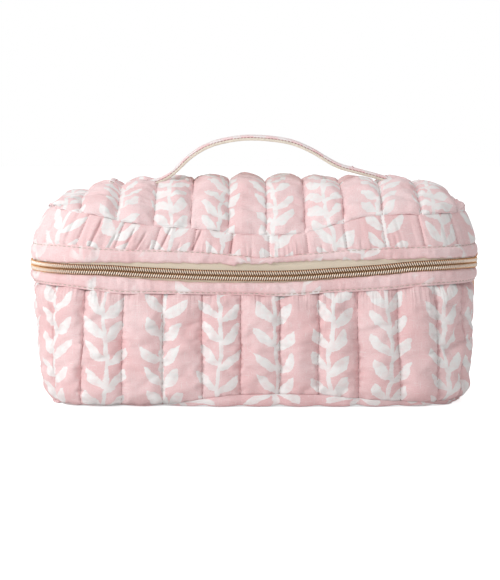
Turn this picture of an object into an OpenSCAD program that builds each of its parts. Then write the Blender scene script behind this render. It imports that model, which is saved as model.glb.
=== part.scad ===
// Quilted cotton makeup bag: a soft padded box whose lid unzips round three sides.
// Units are millimetres. The origin is under the middle of the base, +Z is up,
// and the front faces -Y. The lid turns about the rolled cloth hinge along the back.

/* [Bag] */
// Width of the bag across its front
bag_w = 280; // [250:1:310]
// Depth of the bag from front to back
bag_d = 140; // [120:1:160]
// Height of the middle of the zip above the table
zip_h = 88; // [78:1:98]
// Height of the lid's sewn edge above the middle of the zip
lid_wall_h = 29; // [26:1:36]
// Rise of the padded lid above its sewn edge
lid_rise = 24; // [16:1:24]
// Corner radius at the front
front_r = 38; // [28:1:44]
// Corner radius at the back
back_r = 22; // [16:1:26]

/* [Cloth] */
// Thickness of the printed outer cloth
cloth_t = 1; // [0.8:0.1:1.2]
// Thickness of the wadding between the two cloths
wadding_t = 4; // [3:0.5:5]
// Thickness of the lining cloth
lining_t = 0.8; // [0.6:0.1:1]
// Visible width of each binding beside the zip
binding_w = 9; // [6:0.5:10]
// Thickness of each binding
binding_t = 1.9; // [1.5:0.1:2.4]

/* [Zip] */
// Height of one coil across the chain
coil_w = 2.6; // [2.2:0.1:3]
// Thickness of the coils, out from the tape
coil_t = 2.2; // [1.8:0.1:2.4]
// Thickness of the zip tape
tape_t = 0.6; // [0.4:0.1:0.8]
// Length of the slider along the chain
slider_l = 9; // [8:0.5:11]
// Length of the pull tab below its eye
pull_l = 24; // [16:1:30]

/* [Handle] */
// Width of the strap
strap_w = 25; // [18:1:28]
// Height of the top of the arch above the table
handle_top = 166; // [164:1:170]
// Radius of the arch
arch_r = 82; // [78:1:88]
// Length of each sewn-down end
sewn_l = 28; // [20:1:34]

/* [Hidden] */
$fn = 96;

// Layers of the wall, each measured inwards from the outer face
gap = 0.1;
wadding_out = cloth_t + gap;
wadding_in = wadding_out + wadding_t;
lining_out = wadding_in + gap;
lining_in = lining_out + lining_t;
tape_out = cloth_t + gap;
tape_in = tape_out + tape_t;

// Heights around the zip
window_h = 4.5;                           // from the zip's middle to a binding's edge
wall_edge = window_h + 0.3;               // from the zip's middle to a wall's edge
tape_edge = 14;                           // from the zip's middle to a tape's sewn edge
chain_gap = 0.8;                          // between the two coils
lid_edge_z = zip_h + lid_wall_h;
half_w = bag_w / 2;
half_d = bag_d / 2;

// The zip runs round the front and ends on each side, before the back corner
zip_short = 8;                            // from the end of the chain to the back corner
zip_end_y = half_d - back_r - zip_short;
back_half = half_w - back_r;              // half the straight part of the back
hinge_r = 2.5;
hinge_edge = hinge_r + 0.5;               // from the hinge's middle to a back panel's edge

// Stops and cloth tabs past the last turns of the coils
stop_l = 1.8;
stop_y = zip_end_y + 0.3;
end_tab_l = 5;
end_tab_t = 1.6;
end_tab_y = stop_y + stop_l + 0.5;
tab_half_h = window_h - 0.4;

// Slider and pull, on the bag's right-hand side
slider_y = zip_end_y - 6;
slider_half_h = window_h - 0.3;
plate_t = 1;
plate_gap = 0.4;                          // clearance between a plate and the tape or coil
plate_out = coil_t - tape_out + plate_gap;  // the outer plate, out from the wall's face
overlap = 0.2;                            // how far joined solids run into each other
post_l = 3;
post_t = 0.5;
lip_t = 0.8;
bar_r = 0.6;
bar_out = 3.4;                            // from the outer plate to the middle of the bar
bar_x = half_w + plate_out + plate_t + bar_out;
leg_y = 3.4;
ring_r = 2.6;
ring_wire = 0.5;
ring_z = zip_h - (ring_r - ring_wire - bar_r - gap / 2);
eye_z = ring_z - ring_r;
eye_r = 1.1;
head_r = 2.6;
neck_half = 2;
tail_half = 3.2;
end_r = 3.6;
pull_t = 1.2;

// Bias tape over the raw edges inside
seam_tape_w = 3;
seam_tape_t = 2;

// Handle
webbing_t = 1.4;
top_cloth_t = 0.8;
arch_z = handle_top - arch_r;
strap_t = webbing_t + top_cloth_t;
strap_lift = cloth_t + gap + 0.3;         // from the lid's swell to the underside of a sewn end
crown_x = 36;                             // half the part of the arch that swings over
crown_gap = 0.3;                          // between that part and each end
sewn_x = 58;                              // where the arch reaches the lid
end_steps = [0, 3, 7, 11, 15, 19, 25, 32, 39];

// Rounded outline of the bag seen from above, grown outwards by g
module outline(g = 0) {
  f = [half_w - front_r, half_d - front_r];  // middle of the front right corner, with y turned
  b = [half_w - back_r, half_d - back_r];    // middle of the back right corner
  union() {
    polygon([
      [-f.x, -half_d - g], [f.x, -half_d - g], [half_w + g, -f.y], [half_w + g, b.y],
      [b.x, half_d + g], [-b.x, half_d + g], [-half_w - g, b.y], [-half_w - g, -f.y]
    ]);
    for (side = [-1, 1]) {
      translate([side * f.x, -f.y]) circle(r = front_r + g);
      translate([side * b.x, b.y]) circle(r = back_r + g);
    }
  }
}

// Closed ring between two depths below the outer face
module ring_2d(outer, inner) {
  difference() {
    outline(-outer);
    outline(-inner);
  }
}

// Ring without the straight part of the back
module u_2d(outer, inner) {
  difference() {
    ring_2d(outer, inner);
    translate([-back_half, 0]) square([2 * back_half, bag_d]);
  }
}

// Ring cut off at the ends of the zip
module zip_2d(outer, inner) {
  difference() {
    ring_2d(outer, inner);
    translate([-bag_w, zip_end_y]) square([2 * bag_w, bag_d]);
  }
}

// Ring of bias tape against the inner face of the lining
module seam_tape_2d() {
  ring_2d(lining_in + gap, lining_in + gap + seam_tape_t);
}

module rise_from(z0, z1) {
  translate([0, 0, z0]) linear_extrude(z1 - z0) children();
}

// Flat panel along the straight part of the back
module back_slab(outer, inner, z0, z1) {
  translate([-back_half + gap, half_d - inner, z0])
    cube([2 * (back_half - gap), inner - outer, z1 - z0]);
}

// Height of the lid's padded top above its sewn edge
function lid_swell(x, y) =
  lid_rise * (1 - pow(min(1, abs(x) / half_w), 5)) * (1 - pow(min(1, abs(y) / half_d), 2.4));

function arc_points(cx, cy, r, a0, a1, n) =
  [for (i = [0 : n]) let (a = a0 + (a1 - a0) * i / n) [cx + r * cos(a), cy + r * sin(a)]];

function line_points(p, q, n) = [for (i = [1 : n - 1]) p + (q - p) * i / n];

// Points round the outline, taken in by g
function outline_points(g) =
  let (
    fx = half_w - front_r, fy = half_d - front_r, bx = half_w - back_r, by = half_d - back_r,
    fr = front_r - g, br = back_r - g, w = half_w - g, d = half_d - g
  )
  concat(
    arc_points(-fx, -fy, fr, 180, 270, 6), line_points([-fx, -d], [fx, -d], 12),
    arc_points(fx, -fy, fr, 270, 360, 6), line_points([w, -fy], [w, by], 6),
    arc_points(bx, by, br, 0, 90, 4), line_points([bx, d], [-bx, d], 12),
    arc_points(-bx, by, br, 90, 180, 4), line_points([-w, by], [-w, -fy], 6)
  );

// Padded layer that follows the lid's swell, from depth to depth + t below it. It is rimmed by
// the outline taken in by each of insets. All layers share their inner rings, so they nest.
module swelled_layer(insets, depth, t) {
  rings = 8;
  core = outline_points(lining_in + gap);
  n = len(core);
  flat = concat(
    [for (g = insets) each outline_points(g)],
    [for (k = [0 : rings - 1]) for (p = core) p * (1 - k / rings)],
    [[0, 0]]
  );
  peak = len(flat) - 1;
  loops = peak / n;
  base_z = lid_edge_z + gap + cloth_t - depth;
  top = [for (p = flat) [p.x, p.y, base_z + lid_swell(p.x, p.y)]];
  low = [for (v = top) v - [0, 0, t]];
  skin = [for (k = [0 : loops - 2]) for (i = [0 : n - 1]) let (j = (i + 1) % n) each [
    [k * n + i, (k + 1) * n + i, (k + 1) * n + j],
    [k * n + i, (k + 1) * n + j, k * n + j]
  ]];
  cap = [for (i = [0 : n - 1]) [(loops - 1) * n + i, peak, (loops - 1) * n + (i + 1) % n]];
  upper = concat(skin, cap);
  lower = [for (f = upper) [f[2], f[1], f[0]] + (peak + 1) * [1, 1, 1]];
  side = [for (i = [0 : n - 1]) let (j = (i + 1) % n) [i, j, peak + 1 + j, peak + 1 + i]];
  polyhedron(concat(top, low), concat(upper, lower, side), convexity = 4);
}

// ---- Base ----

module base_wall_band() {
  color("pink") rise_from(cloth_t + gap, zip_h - wall_edge) u_2d(0, cloth_t);
}

module base_back_panel() {
  color("pink") back_slab(0, cloth_t, cloth_t + gap, zip_h - hinge_edge);
}

module base_bottom_panel() {
  color("pink") rise_from(0, cloth_t) outline();
}

module base_wall_wadding() {
  color("white") rise_from(cloth_t + gap, zip_h - tape_edge - gap) u_2d(wadding_out, wadding_in);
}

module base_back_wadding() {
  color("white") back_slab(wadding_out, wadding_in, cloth_t + gap, zip_h - hinge_edge);
}

module base_bottom_wadding() {
  color("white") rise_from(cloth_t + gap, cloth_t + gap + wadding_t) outline(-lining_in - gap);
}

module base_wall_lining() {
  color("ivory") rise_from(cloth_t + gap, zip_h - wall_edge) ring_2d(lining_out, lining_in);
}

module base_bottom_lining() {
  z0 = cloth_t + wadding_t + 2 * gap;
  color("ivory") rise_from(z0, z0 + lining_t) outline(-lining_in - gap);
}

// Bias tape over the raw edges where the lining meets the bottom
module bottom_seam_binding() {
  z0 = cloth_t + wadding_t + lining_t + 3 * gap;
  color("ivory") rise_from(z0, z0 + seam_tape_w) seam_tape_2d();
}

module lower_binding() {
  color("lightpink") rise_from(zip_h - window_h - binding_w, zip_h - window_h)
    u_2d(-gap - binding_t, -gap);
}

module lower_zip_tape() {
  color("beige") rise_from(zip_h - tape_edge, zip_h - chain_gap / 2) u_2d(tape_out, tape_in);
}

module lower_zip_coil() {
  color("peru") rise_from(zip_h - chain_gap / 2 - coil_w, zip_h - chain_gap / 2)
    zip_2d(tape_out - coil_t, tape_out - gap);
}

// Crimped metal block just past the last turn of a coil
module zip_stop(side, z0, h) {
  x0 = side > 0 ? half_w - tape_out + gap : -half_w + tape_out - gap - coil_t;
  color("rosybrown") translate([x0, stop_y, z0]) cube([coil_t, stop_l, h]);
}

module lower_top_stop() {
  zip_stop(1, zip_h - chain_gap / 2 - coil_w, coil_w);
}

module zip_bottom_stop() {
  zip_stop(-1, zip_h - chain_gap / 2 - coil_w, 2 * coil_w + chain_gap);
}

// Folded cloth tab that covers the raw end of the zip
module zip_end_tab(side) {
  x0 = side > 0 ? half_w - tape_out + gap : -half_w + tape_out - gap - end_tab_t;
  color("lightpink") translate([x0, end_tab_y, zip_h - tab_half_h])
    cube([end_tab_t, end_tab_l, tab_half_h]);
}

module zip_end_tab_left() {
  zip_end_tab(-1);
}

module zip_end_tab_right() {
  zip_end_tab(1);
}

// Rolled cloth that the lid turns on, with the leg that is sewn to the back panel
module hinge_binding() {
  length = 2 * (back_half - gap);
  color("lightpink") union() {
    translate([-length / 2, half_d, zip_h]) rotate([0, 90, 0]) cylinder(r = hinge_r, h = length);
    translate([-length / 2, half_d + gap, zip_h - window_h - binding_w])
      cube([length, binding_t, window_h + binding_w]);
  }
}

// ---- Lid ----

module lid_top_panel() {
  color("pink") swelled_layer([0], 0, cloth_t);
}

module lid_wall_band() {
  color("pink") rise_from(zip_h + wall_edge, lid_edge_z) u_2d(0, cloth_t);
}

module lid_back_panel() {
  color("pink") back_slab(0, cloth_t, zip_h + hinge_edge, lid_edge_z);
}

module lid_top_wadding() {
  color("white") swelled_layer([], cloth_t + gap, wadding_t);
}

module lid_wall_wadding() {
  color("white") rise_from(zip_h + tape_edge + gap, lid_edge_z) u_2d(wadding_out, wadding_in);
}

module lid_back_wadding() {
  color("white") back_slab(wadding_out, wadding_in, zip_h + hinge_edge, lid_edge_z);
}

module lid_wall_lining() {
  color("ivory") rise_from(zip_h + wall_edge, lid_edge_z) ring_2d(lining_out, lining_in);
}

module lid_top_lining() {
  color("ivory") swelled_layer([], cloth_t + wadding_t + 2 * gap, lining_t);
}

// Bias tape over the raw edges where the lid's lining meets its top
module lid_seam_binding() {
  z1 = lid_edge_z - wadding_t - lining_t - 3 * gap;
  color("ivory") rise_from(z1 - seam_tape_w, z1) seam_tape_2d();
}

module upper_binding() {
  color("lightpink") rise_from(zip_h + window_h, zip_h + window_h + binding_w)
    u_2d(-gap - binding_t, -gap);
}

module upper_zip_tape() {
  color("beige") rise_from(zip_h + chain_gap / 2, zip_h + tape_edge) u_2d(tape_out, tape_in);
}

module upper_zip_coil() {
  color("peru") rise_from(zip_h + chain_gap / 2, zip_h + chain_gap / 2 + coil_w)
    zip_2d(tape_out - coil_t, tape_out - gap);
}

module upper_top_stop() {
  zip_stop(1, zip_h + chain_gap / 2, coil_w);
}

// Height of a circle of radius r about the arch's centre, or 0 beyond it
function arch_height(x, r) = abs(x) < r ? arch_z + sqrt(r * r - x * x) : 0;

// End of the strap: it comes down along the arch, then lies sewn flat on the lid's swell
module handle_end(side) {
  last = sewn_x + sewn_l;
  first = crown_x + crown_gap;
  x_at = [for (s = end_steps) side * (first + (last - first) * s / end_steps[len(end_steps) - 1])];
  y_at = [-strap_w / 2, 0, strap_w / 2];
  low = [for (x = x_at) for (y = y_at)
    [x, y, max(lid_edge_z + strap_lift + lid_swell(x, y), arch_height(x, arch_r - strap_t))]];
  top = [for (x = x_at) for (y = y_at)
    [x, y, max(lid_edge_z + strap_lift + strap_t + lid_swell(x, y), arch_height(x, arch_r))]];
  n = len(low);
  steps = len(x_at) - 1;
  cells = [for (i = [0 : steps - 1]) for (k = [0, 1])
    let (a = 3 * i + k) [a, a + 1, a + 4, a + 3]];
  upper_cells = [for (f = cells) [f[3] + n, f[2] + n, f[1] + n, f[0] + n]];
  long_sides = [for (i = [0 : steps - 1]) each [
    [3 * i, 3 * i + 3, 3 * i + 3 + n, 3 * i + n],
    [3 * i + 5, 3 * i + 2, 3 * i + 2 + n, 3 * i + 5 + n]
  ]];
  ends = [for (k = [0, 1]) each [
    [k + 1, k, k + n, k + 1 + n],
    [3 * steps + k, 3 * steps + k + 1, 3 * steps + k + 1 + n, 3 * steps + k + n]
  ]];
  faces = concat(cells, upper_cells, long_sides, ends);
  turned = [for (f = faces) [f[3], f[2], f[1], f[0]]];
  color("bisque") polyhedron(concat(low, top), side > 0 ? faces : turned);
}

module handle_end_left() {
  handle_end(-1);
}

module handle_end_right() {
  handle_end(1);
}

// ---- Handle ----

// Curved strip of the strap's crown between two radii of the arch
module arch_strip(r_out, r_in) {
  translate([0, strap_w / 2, arch_z]) rotate([90, 0, 0]) linear_extrude(strap_w)
    intersection() {
      difference() {
        circle(r = r_out);
        circle(r = r_in);
      }
      translate([-crown_x, 0]) square([2 * crown_x, arch_r]);
    }
}

module handle_webbing() {
  color("bisque") arch_strip(arch_r - top_cloth_t - gap / 2, arch_r - strap_t);
}

module handle_top_cloth() {
  color("pink") arch_strip(arch_r, arch_r - top_cloth_t);
}

// ---- Slider and pull ----

// Two plates joined by a post that runs between the coils. The lower edge of the outer plate is
// turned in to hold the coil; the upper edge is left open so that the lid's coil can lift out.
module zip_slider() {
  x_in = half_w - tape_in - plate_gap;
  x_out = half_w + plate_out;
  x_lip = half_w - tape_out + plate_gap;
  y0 = slider_y - slider_l / 2;
  z0 = zip_h - slider_half_h;
  color("rosybrown") union() {
    for (x = [x_out, x_in - plate_t]) translate([x, y0, z0])
      cube([plate_t, slider_l, 2 * slider_half_h]);
    translate([x_in - overlap, y0, zip_h - post_t / 2])
      cube([x_out - x_in + 2 * overlap, post_l, post_t]);
    translate([x_lip, y0, z0]) cube([x_out - x_lip + overlap, slider_l, lip_t]);
  }
}

// Round bar on two legs, which the pull's ring hangs from
module slider_bridge() {
  x0 = bar_x - bar_out + gap / 2;
  span = 2 * (leg_y + bar_r);
  color("rosybrown") translate([0, slider_y, zip_h]) union() {
    translate([bar_x, span / 2, 0]) rotate([90, 0, 0]) cylinder(r = bar_r, h = span, $fn = 32);
    for (side = [-1, 1])
      translate([x0, side * leg_y - bar_r, -bar_r]) cube([bar_x - x0, 2 * bar_r, 2 * bar_r]);
  }
}

module pull_ring() {
  color("rosybrown") translate([bar_x, slider_y, ring_z]) rotate([90, 0, 0])
    rotate_extrude($fn = 64) translate([ring_r, 0]) circle(r = ring_wire, $fn = 24);
}

// Flat metal tab with a round eye, hanging from the ring
module pull_tab() {
  drop = pull_l - end_r;
  eye_drop = eye_r - ring_wire - gap;
  color("rosybrown") translate([bar_x - pull_t / 2, slider_y, eye_z - eye_drop])
    rotate([90, 0, 90]) difference() {
      union() {
        cylinder(r = head_r, h = pull_t);
        linear_extrude(pull_t)
          polygon([[-neck_half, 0], [neck_half, 0], [tail_half, -drop], [-tail_half, -drop]]);
        translate([0, -drop, 0]) cylinder(r = end_r, h = pull_t);
      }
      translate([0, 0, -1]) cylinder(r = eye_r, h = pull_t + 2);
    }
}

base_wall_band();
base_back_panel();
base_bottom_panel();
base_wall_wadding();
base_back_wadding();
base_bottom_wadding();
base_wall_lining();
base_bottom_lining();
bottom_seam_binding();
lower_binding();
lower_zip_tape();
lower_zip_coil();
lower_top_stop();
zip_bottom_stop();
zip_end_tab_left();
zip_end_tab_right();
hinge_binding();
lid_top_panel();
lid_wall_band();
lid_back_panel();
lid_top_wadding();
lid_wall_wadding();
lid_back_wadding();
lid_wall_lining();
lid_top_lining();
lid_seam_binding();
upper_binding();
upper_zip_tape();
upper_zip_coil();
upper_top_stop();
handle_end_left();
handle_end_right();
handle_webbing();
handle_top_cloth();
zip_slider();
slider_bridge();
pull_ring();
pull_tab();
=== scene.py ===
import math
import bmesh
import bpy
from mathutils import Matrix, Vector, noise


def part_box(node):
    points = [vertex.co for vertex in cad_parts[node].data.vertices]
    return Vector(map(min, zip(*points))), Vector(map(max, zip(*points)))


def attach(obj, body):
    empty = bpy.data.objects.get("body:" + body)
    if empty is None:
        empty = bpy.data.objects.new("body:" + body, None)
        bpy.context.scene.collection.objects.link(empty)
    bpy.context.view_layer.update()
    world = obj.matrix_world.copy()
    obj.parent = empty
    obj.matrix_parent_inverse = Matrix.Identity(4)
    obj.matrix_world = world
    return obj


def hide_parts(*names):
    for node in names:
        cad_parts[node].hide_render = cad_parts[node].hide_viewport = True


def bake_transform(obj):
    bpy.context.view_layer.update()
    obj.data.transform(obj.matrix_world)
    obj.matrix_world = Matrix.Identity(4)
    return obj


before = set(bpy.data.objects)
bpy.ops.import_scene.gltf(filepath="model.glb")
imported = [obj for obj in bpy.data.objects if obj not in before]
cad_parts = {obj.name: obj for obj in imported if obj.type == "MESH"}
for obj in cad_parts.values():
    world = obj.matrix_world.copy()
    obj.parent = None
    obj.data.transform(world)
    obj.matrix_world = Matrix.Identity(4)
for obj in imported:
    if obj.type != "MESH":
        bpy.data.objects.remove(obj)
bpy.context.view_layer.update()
mm = 0.001
perMetre = 1000.0  # noises and prints are measured in millimetres
print("frame loaded")

# the bag's plan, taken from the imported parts
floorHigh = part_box("base_bottom_panel")[1]
coilLow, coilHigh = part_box("lower_zip_coil")
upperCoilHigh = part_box("upper_zip_coil")[1]
bag = {
    "halfWidth": floorHigh.x,
    "halfDepth": floorHigh.y,
    "frontCorner": 38 * mm,
    "backCorner": 22 * mm,
    "zipHeight": (coilLow.z + upperCoilHigh.z) / 2,
    "zipEnd": coilHigh.y,
}

frontHalf = bag["halfWidth"] - bag["frontCorner"]
frontArc = bag["frontCorner"] * math.pi / 2
sideRun = 2 * bag["halfDepth"] - bag["frontCorner"] - bag["backCorner"]
backArc = bag["backCorner"] * math.pi / 2
backHalf = bag["halfWidth"] - bag["backCorner"]
halfGirth = frontHalf + frontArc + sideRun + backArc + backHalf
girth = 2 * halfGirth
zipReach = frontHalf + frontArc + bag["zipEnd"] + bag["halfDepth"] - bag["frontCorner"]
backStart = halfGirth - backHalf  # where the straight back begins


# outline of the bag

def wrapGirth(s):
    return (s + halfGirth) % girth - halfGirth


def outlineAt(s):
    # point and outward direction at a distance s round the bag, from the middle of the front
    s = wrapGirth(s)
    side = -1 if s < 0 else 1
    d = abs(s)
    w, h = bag["halfWidth"], bag["halfDepth"]
    rf, rb = bag["frontCorner"], bag["backCorner"]
    if d <= frontHalf:
        x, y, nx, ny = d, -h, 0, -1
    elif d <= frontHalf + frontArc:
        a = (d - frontHalf) / rf
        nx, ny = math.sin(a), -math.cos(a)
        x, y = frontHalf + nx * rf, rf - h + ny * rf
    elif d <= frontHalf + frontArc + sideRun:
        x, y, nx, ny = w, rf - h + d - frontHalf - frontArc, 1, 0
    elif d <= backStart:
        a = (d - frontHalf - frontArc - sideRun) / rb
        nx, ny = math.cos(a), math.sin(a)
        x, y = w - rb + nx * rb, h - rb + ny * rb
    else:
        x, y, nx, ny = backHalf - (d - backStart), h, 0, 1
    return Vector((side * x, y, 0)), Vector((side * nx, ny, 0))


def around(s, out, z):
    point, outward = outlineAt(s)
    return point + outward * out + Vector((0, 0, z))


def ease(a, b, x):
    t = min(1, max(0, (x - a) / (b - a)))
    return t * t * (3 - 2 * t)


def follow(pairs, x):
    # smooth curve through a few (place, value) pairs, level past both ends
    if x <= pairs[0][0]:
        return pairs[0][1]
    if x >= pairs[-1][0]:
        return pairs[-1][1]
    i = next(k for k, pair in enumerate(pairs) if pair[0] >= x)
    (x1, v1), (x2, v2) = pairs[i - 1], pairs[i]
    span = x2 - x1
    t = (x - x1) / span
    slopeIn = slopeOut = 0.0
    if i > 1:
        slopeIn = (v2 - pairs[i - 2][1]) / (x2 - pairs[i - 2][0]) * span
    if i + 1 < len(pairs):
        slopeOut = (pairs[i + 1][1] - v1) / (pairs[i + 1][0] - x1) * span
    return (v1 * (2 * t ** 3 - 3 * t ** 2 + 1) + v2 * (3 * t ** 2 - 2 * t ** 3)
            + slopeIn * (t ** 3 - 2 * t ** 2 + t) + slopeOut * (t ** 3 - t ** 2))


def ripple(x, y, scale, seed=0.0):
    return noise.noise(Vector((x * scale, y * scale, seed)))


def wallRipple(s, z, scale, seed=0.0, upright=1.0):
    # noise that meets itself round the bag; upright stretches it up (under 1) or along (over 1)
    point = outlineAt(s)[0] / mm
    return noise.noise(Vector((point.x * scale + seed, point.y * scale - seed, z / mm * scale * upright)))


# heights of the seams round the bag: in each list, places are in metres and drops or heights in mm

seams = {
    "zipSag": [(-0.25, 0), (-0.17, 0.9), (-0.096, 1.8), (-0.063, 3.6), (-0.03, 5.0), (0.01, 5.5), (0.03, 5.0),
               (0.053, 3.5), (0.077, 1.8), (0.101, -0.5), (0.128, -1.1), (0.153, -0.3), (0.168, 0)],
    "lidSeamSag": [(-0.162, -3.6), (-0.13, -2.2), (-0.108, 0.2), (-0.085, 5.1), (-0.056, 8.1), (-0.033, 9.4),
                   (-0.010, 12.2), (0.028, 12.2), (0.052, 6.4), (0.073, 1.4), (0.095, 0.2), (0.13, 0)],
    "upperStitchSag": [(-0.2, 0), (-0.16, -0.3), (-0.118, -0.9), (-0.093, 1.2), (-0.049, 2.8), (-0.033, 3.3),
                       (-0.008, 5.7), (0.004, 7.0), (0.016, 6.5), (0.028, 5.0), (0.04, 4.3), (0.057, 2.3),
                       (0.077, 1.4), (0.091, 0.6), (0.12, 0), (0.2, 0)],
    "lowerStitchSag": [(-0.2, 0), (-0.122, 0.3), (-0.099, 2.6), (-0.08, 4.8), (-0.063, 4.6), (-0.033, 5.1),
                       (0, 5.6), (0.01, 6.2), (0.028, 5.6), (0.045, 3.9), (0.06, 3.4), (0.084, 2.1),
                       (0.102, 0), (0.12, -0.7), (0.16, -0.5), (0.24, 0)],
    "bottomCurl": [(-0.30, 1.6), (-0.13, 1.0), (-0.06, 1.4), (-0.044, 3.0), (-0.027, 6.3), (-0.010, 8.0),
                   (0.038, 8.2), (0.063, 5.8), (0.084, 4.0), (0.11, 3.2), (0.16, 2.4), (0.30, 1.6)],
    "lidSeam": 120.5 * mm,
    "upperStitch": 99.8 * mm,
    "lowerStitch": 77.4 * mm,
    "sideFade": 58 * mm,
}


def zipZ(s):
    return bag["zipHeight"] - follow(seams["zipSag"], wrapGirth(s)) * mm


def lidSeamZ(s):
    s = wrapGirth(s)
    corner = frontHalf + frontArc
    sag = follow(seams["lidSeamSag"], max(-corner, min(corner, s))) * mm
    return seams["lidSeam"] - sag * (1 - ease(corner, corner + seams["sideFade"], abs(s)))


def upperStitchZ(s):
    return seams["upperStitch"] - follow(seams["upperStitchSag"], wrapGirth(s)) * mm


def lowerStitchZ(s):
    return seams["lowerStitch"] - follow(seams["lowerStitchSag"], wrapGirth(s)) * mm


def bottomSeamZ(s):
    return follow(seams["bottomCurl"], wrapGirth(s)) * mm


# shader groups

def shaderGroup(name, inputs, outputs):
    group = bpy.data.node_groups.new(name, "ShaderNodeTree")
    for label, kind, value in inputs:
        socket = group.interface.new_socket(label, in_out="INPUT", socket_type=kind)
        if value is not None:
            socket.default_value = value
    for label, kind in outputs:
        group.interface.new_socket(label, in_out="OUTPUT", socket_type=kind)
    return group, group.nodes.new("NodeGroupInput"), group.nodes.new("NodeGroupOutput")


class Wires:
    # short ways to add the nodes that the groups below repeat

    def __init__(self, tree):
        self.tree = tree

    def put(self, socket, value):
        if isinstance(value, bpy.types.NodeSocket):
            self.tree.links.new(value, socket)
        elif value is not None:
            socket.default_value = value

    def math(self, operation, a, b=None, c=None, clamp=False):
        node = self.tree.nodes.new("ShaderNodeMath")
        node.operation = operation
        node.use_clamp = clamp
        for socket, value in zip(node.inputs, (a, b, c)):
            self.put(socket, value)
        return node.outputs[0]

    def vector(self, operation, a, b=None, scale=None):
        node = self.tree.nodes.new("ShaderNodeVectorMath")
        node.operation = operation
        self.put(node.inputs[0], a)
        self.put(node.inputs[1], b)
        if scale is not None:
            self.put(node.inputs["Scale"], scale)
        return node.outputs[0]

    def split(self, vector):
        node = self.tree.nodes.new("ShaderNodeSeparateXYZ")
        self.put(node.inputs[0], vector)
        return node.outputs

    def join(self, x=0.0, y=0.0, z=0.0):
        node = self.tree.nodes.new("ShaderNodeCombineXYZ")
        for socket, value in zip(node.inputs, (x, y, z)):
            self.put(socket, value)
        return node.outputs[0]

    def noise(self, vector, scale, detail=2.0, roughness=0.5):
        node = self.tree.nodes.new("ShaderNodeTexNoise")
        self.put(node.inputs["Vector"], vector)
        self.put(node.inputs["Scale"], scale)
        self.put(node.inputs["Detail"], detail)
        self.put(node.inputs["Roughness"], roughness)
        return node.outputs

    def white(self, vector):
        node = self.tree.nodes.new("ShaderNodeTexWhiteNoise")
        self.put(node.inputs["Vector"], vector)
        return node.outputs

    def spread(self, value, low, high, toLow=0.0, toHigh=1.0):
        node = self.tree.nodes.new("ShaderNodeMapRange")
        for socket, v in zip(node.inputs[:5], (value, low, high, toLow, toHigh)):
            self.put(socket, v)
        return node.outputs[0]

    def mix(self, factor, a, b, blend="MIX"):
        node = self.tree.nodes.new("ShaderNodeMix")
        node.data_type = "RGBA"
        node.blend_type = blend
        self.put(node.inputs[0], factor)
        self.put(node.inputs[6], a if isinstance(a, bpy.types.NodeSocket) else (*a, 1))
        self.put(node.inputs[7], b if isinstance(b, bpy.types.NodeSocket) else (*b, 1))
        return node.outputs[2]


vine = {  # lengths in mm
    "pitch": 34.3,
    "phase": 13.0,
    "row": 15.0,
    "rowOffset": 0.09,
    "stem": 1.3,
    "sway": 1.5,
    "swayTurn": 0.085,
    "swayStep": 2.3,
    "leaf": 17.0,
    "leafSpread": 3.0,
    "leafHalf": 3.15,
    "halfSpread": 0.9,
    "leafFoot": 1.2,
    "leafCurl": 1.15,
    "leafFullness": 0.72,
    "angle": 0.74,
    "angleSpread": 0.34,
    "wobble": 4.2,
    "ragged": 1.5,
    "inkEdge": (-0.16, 0.22),
}


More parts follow.
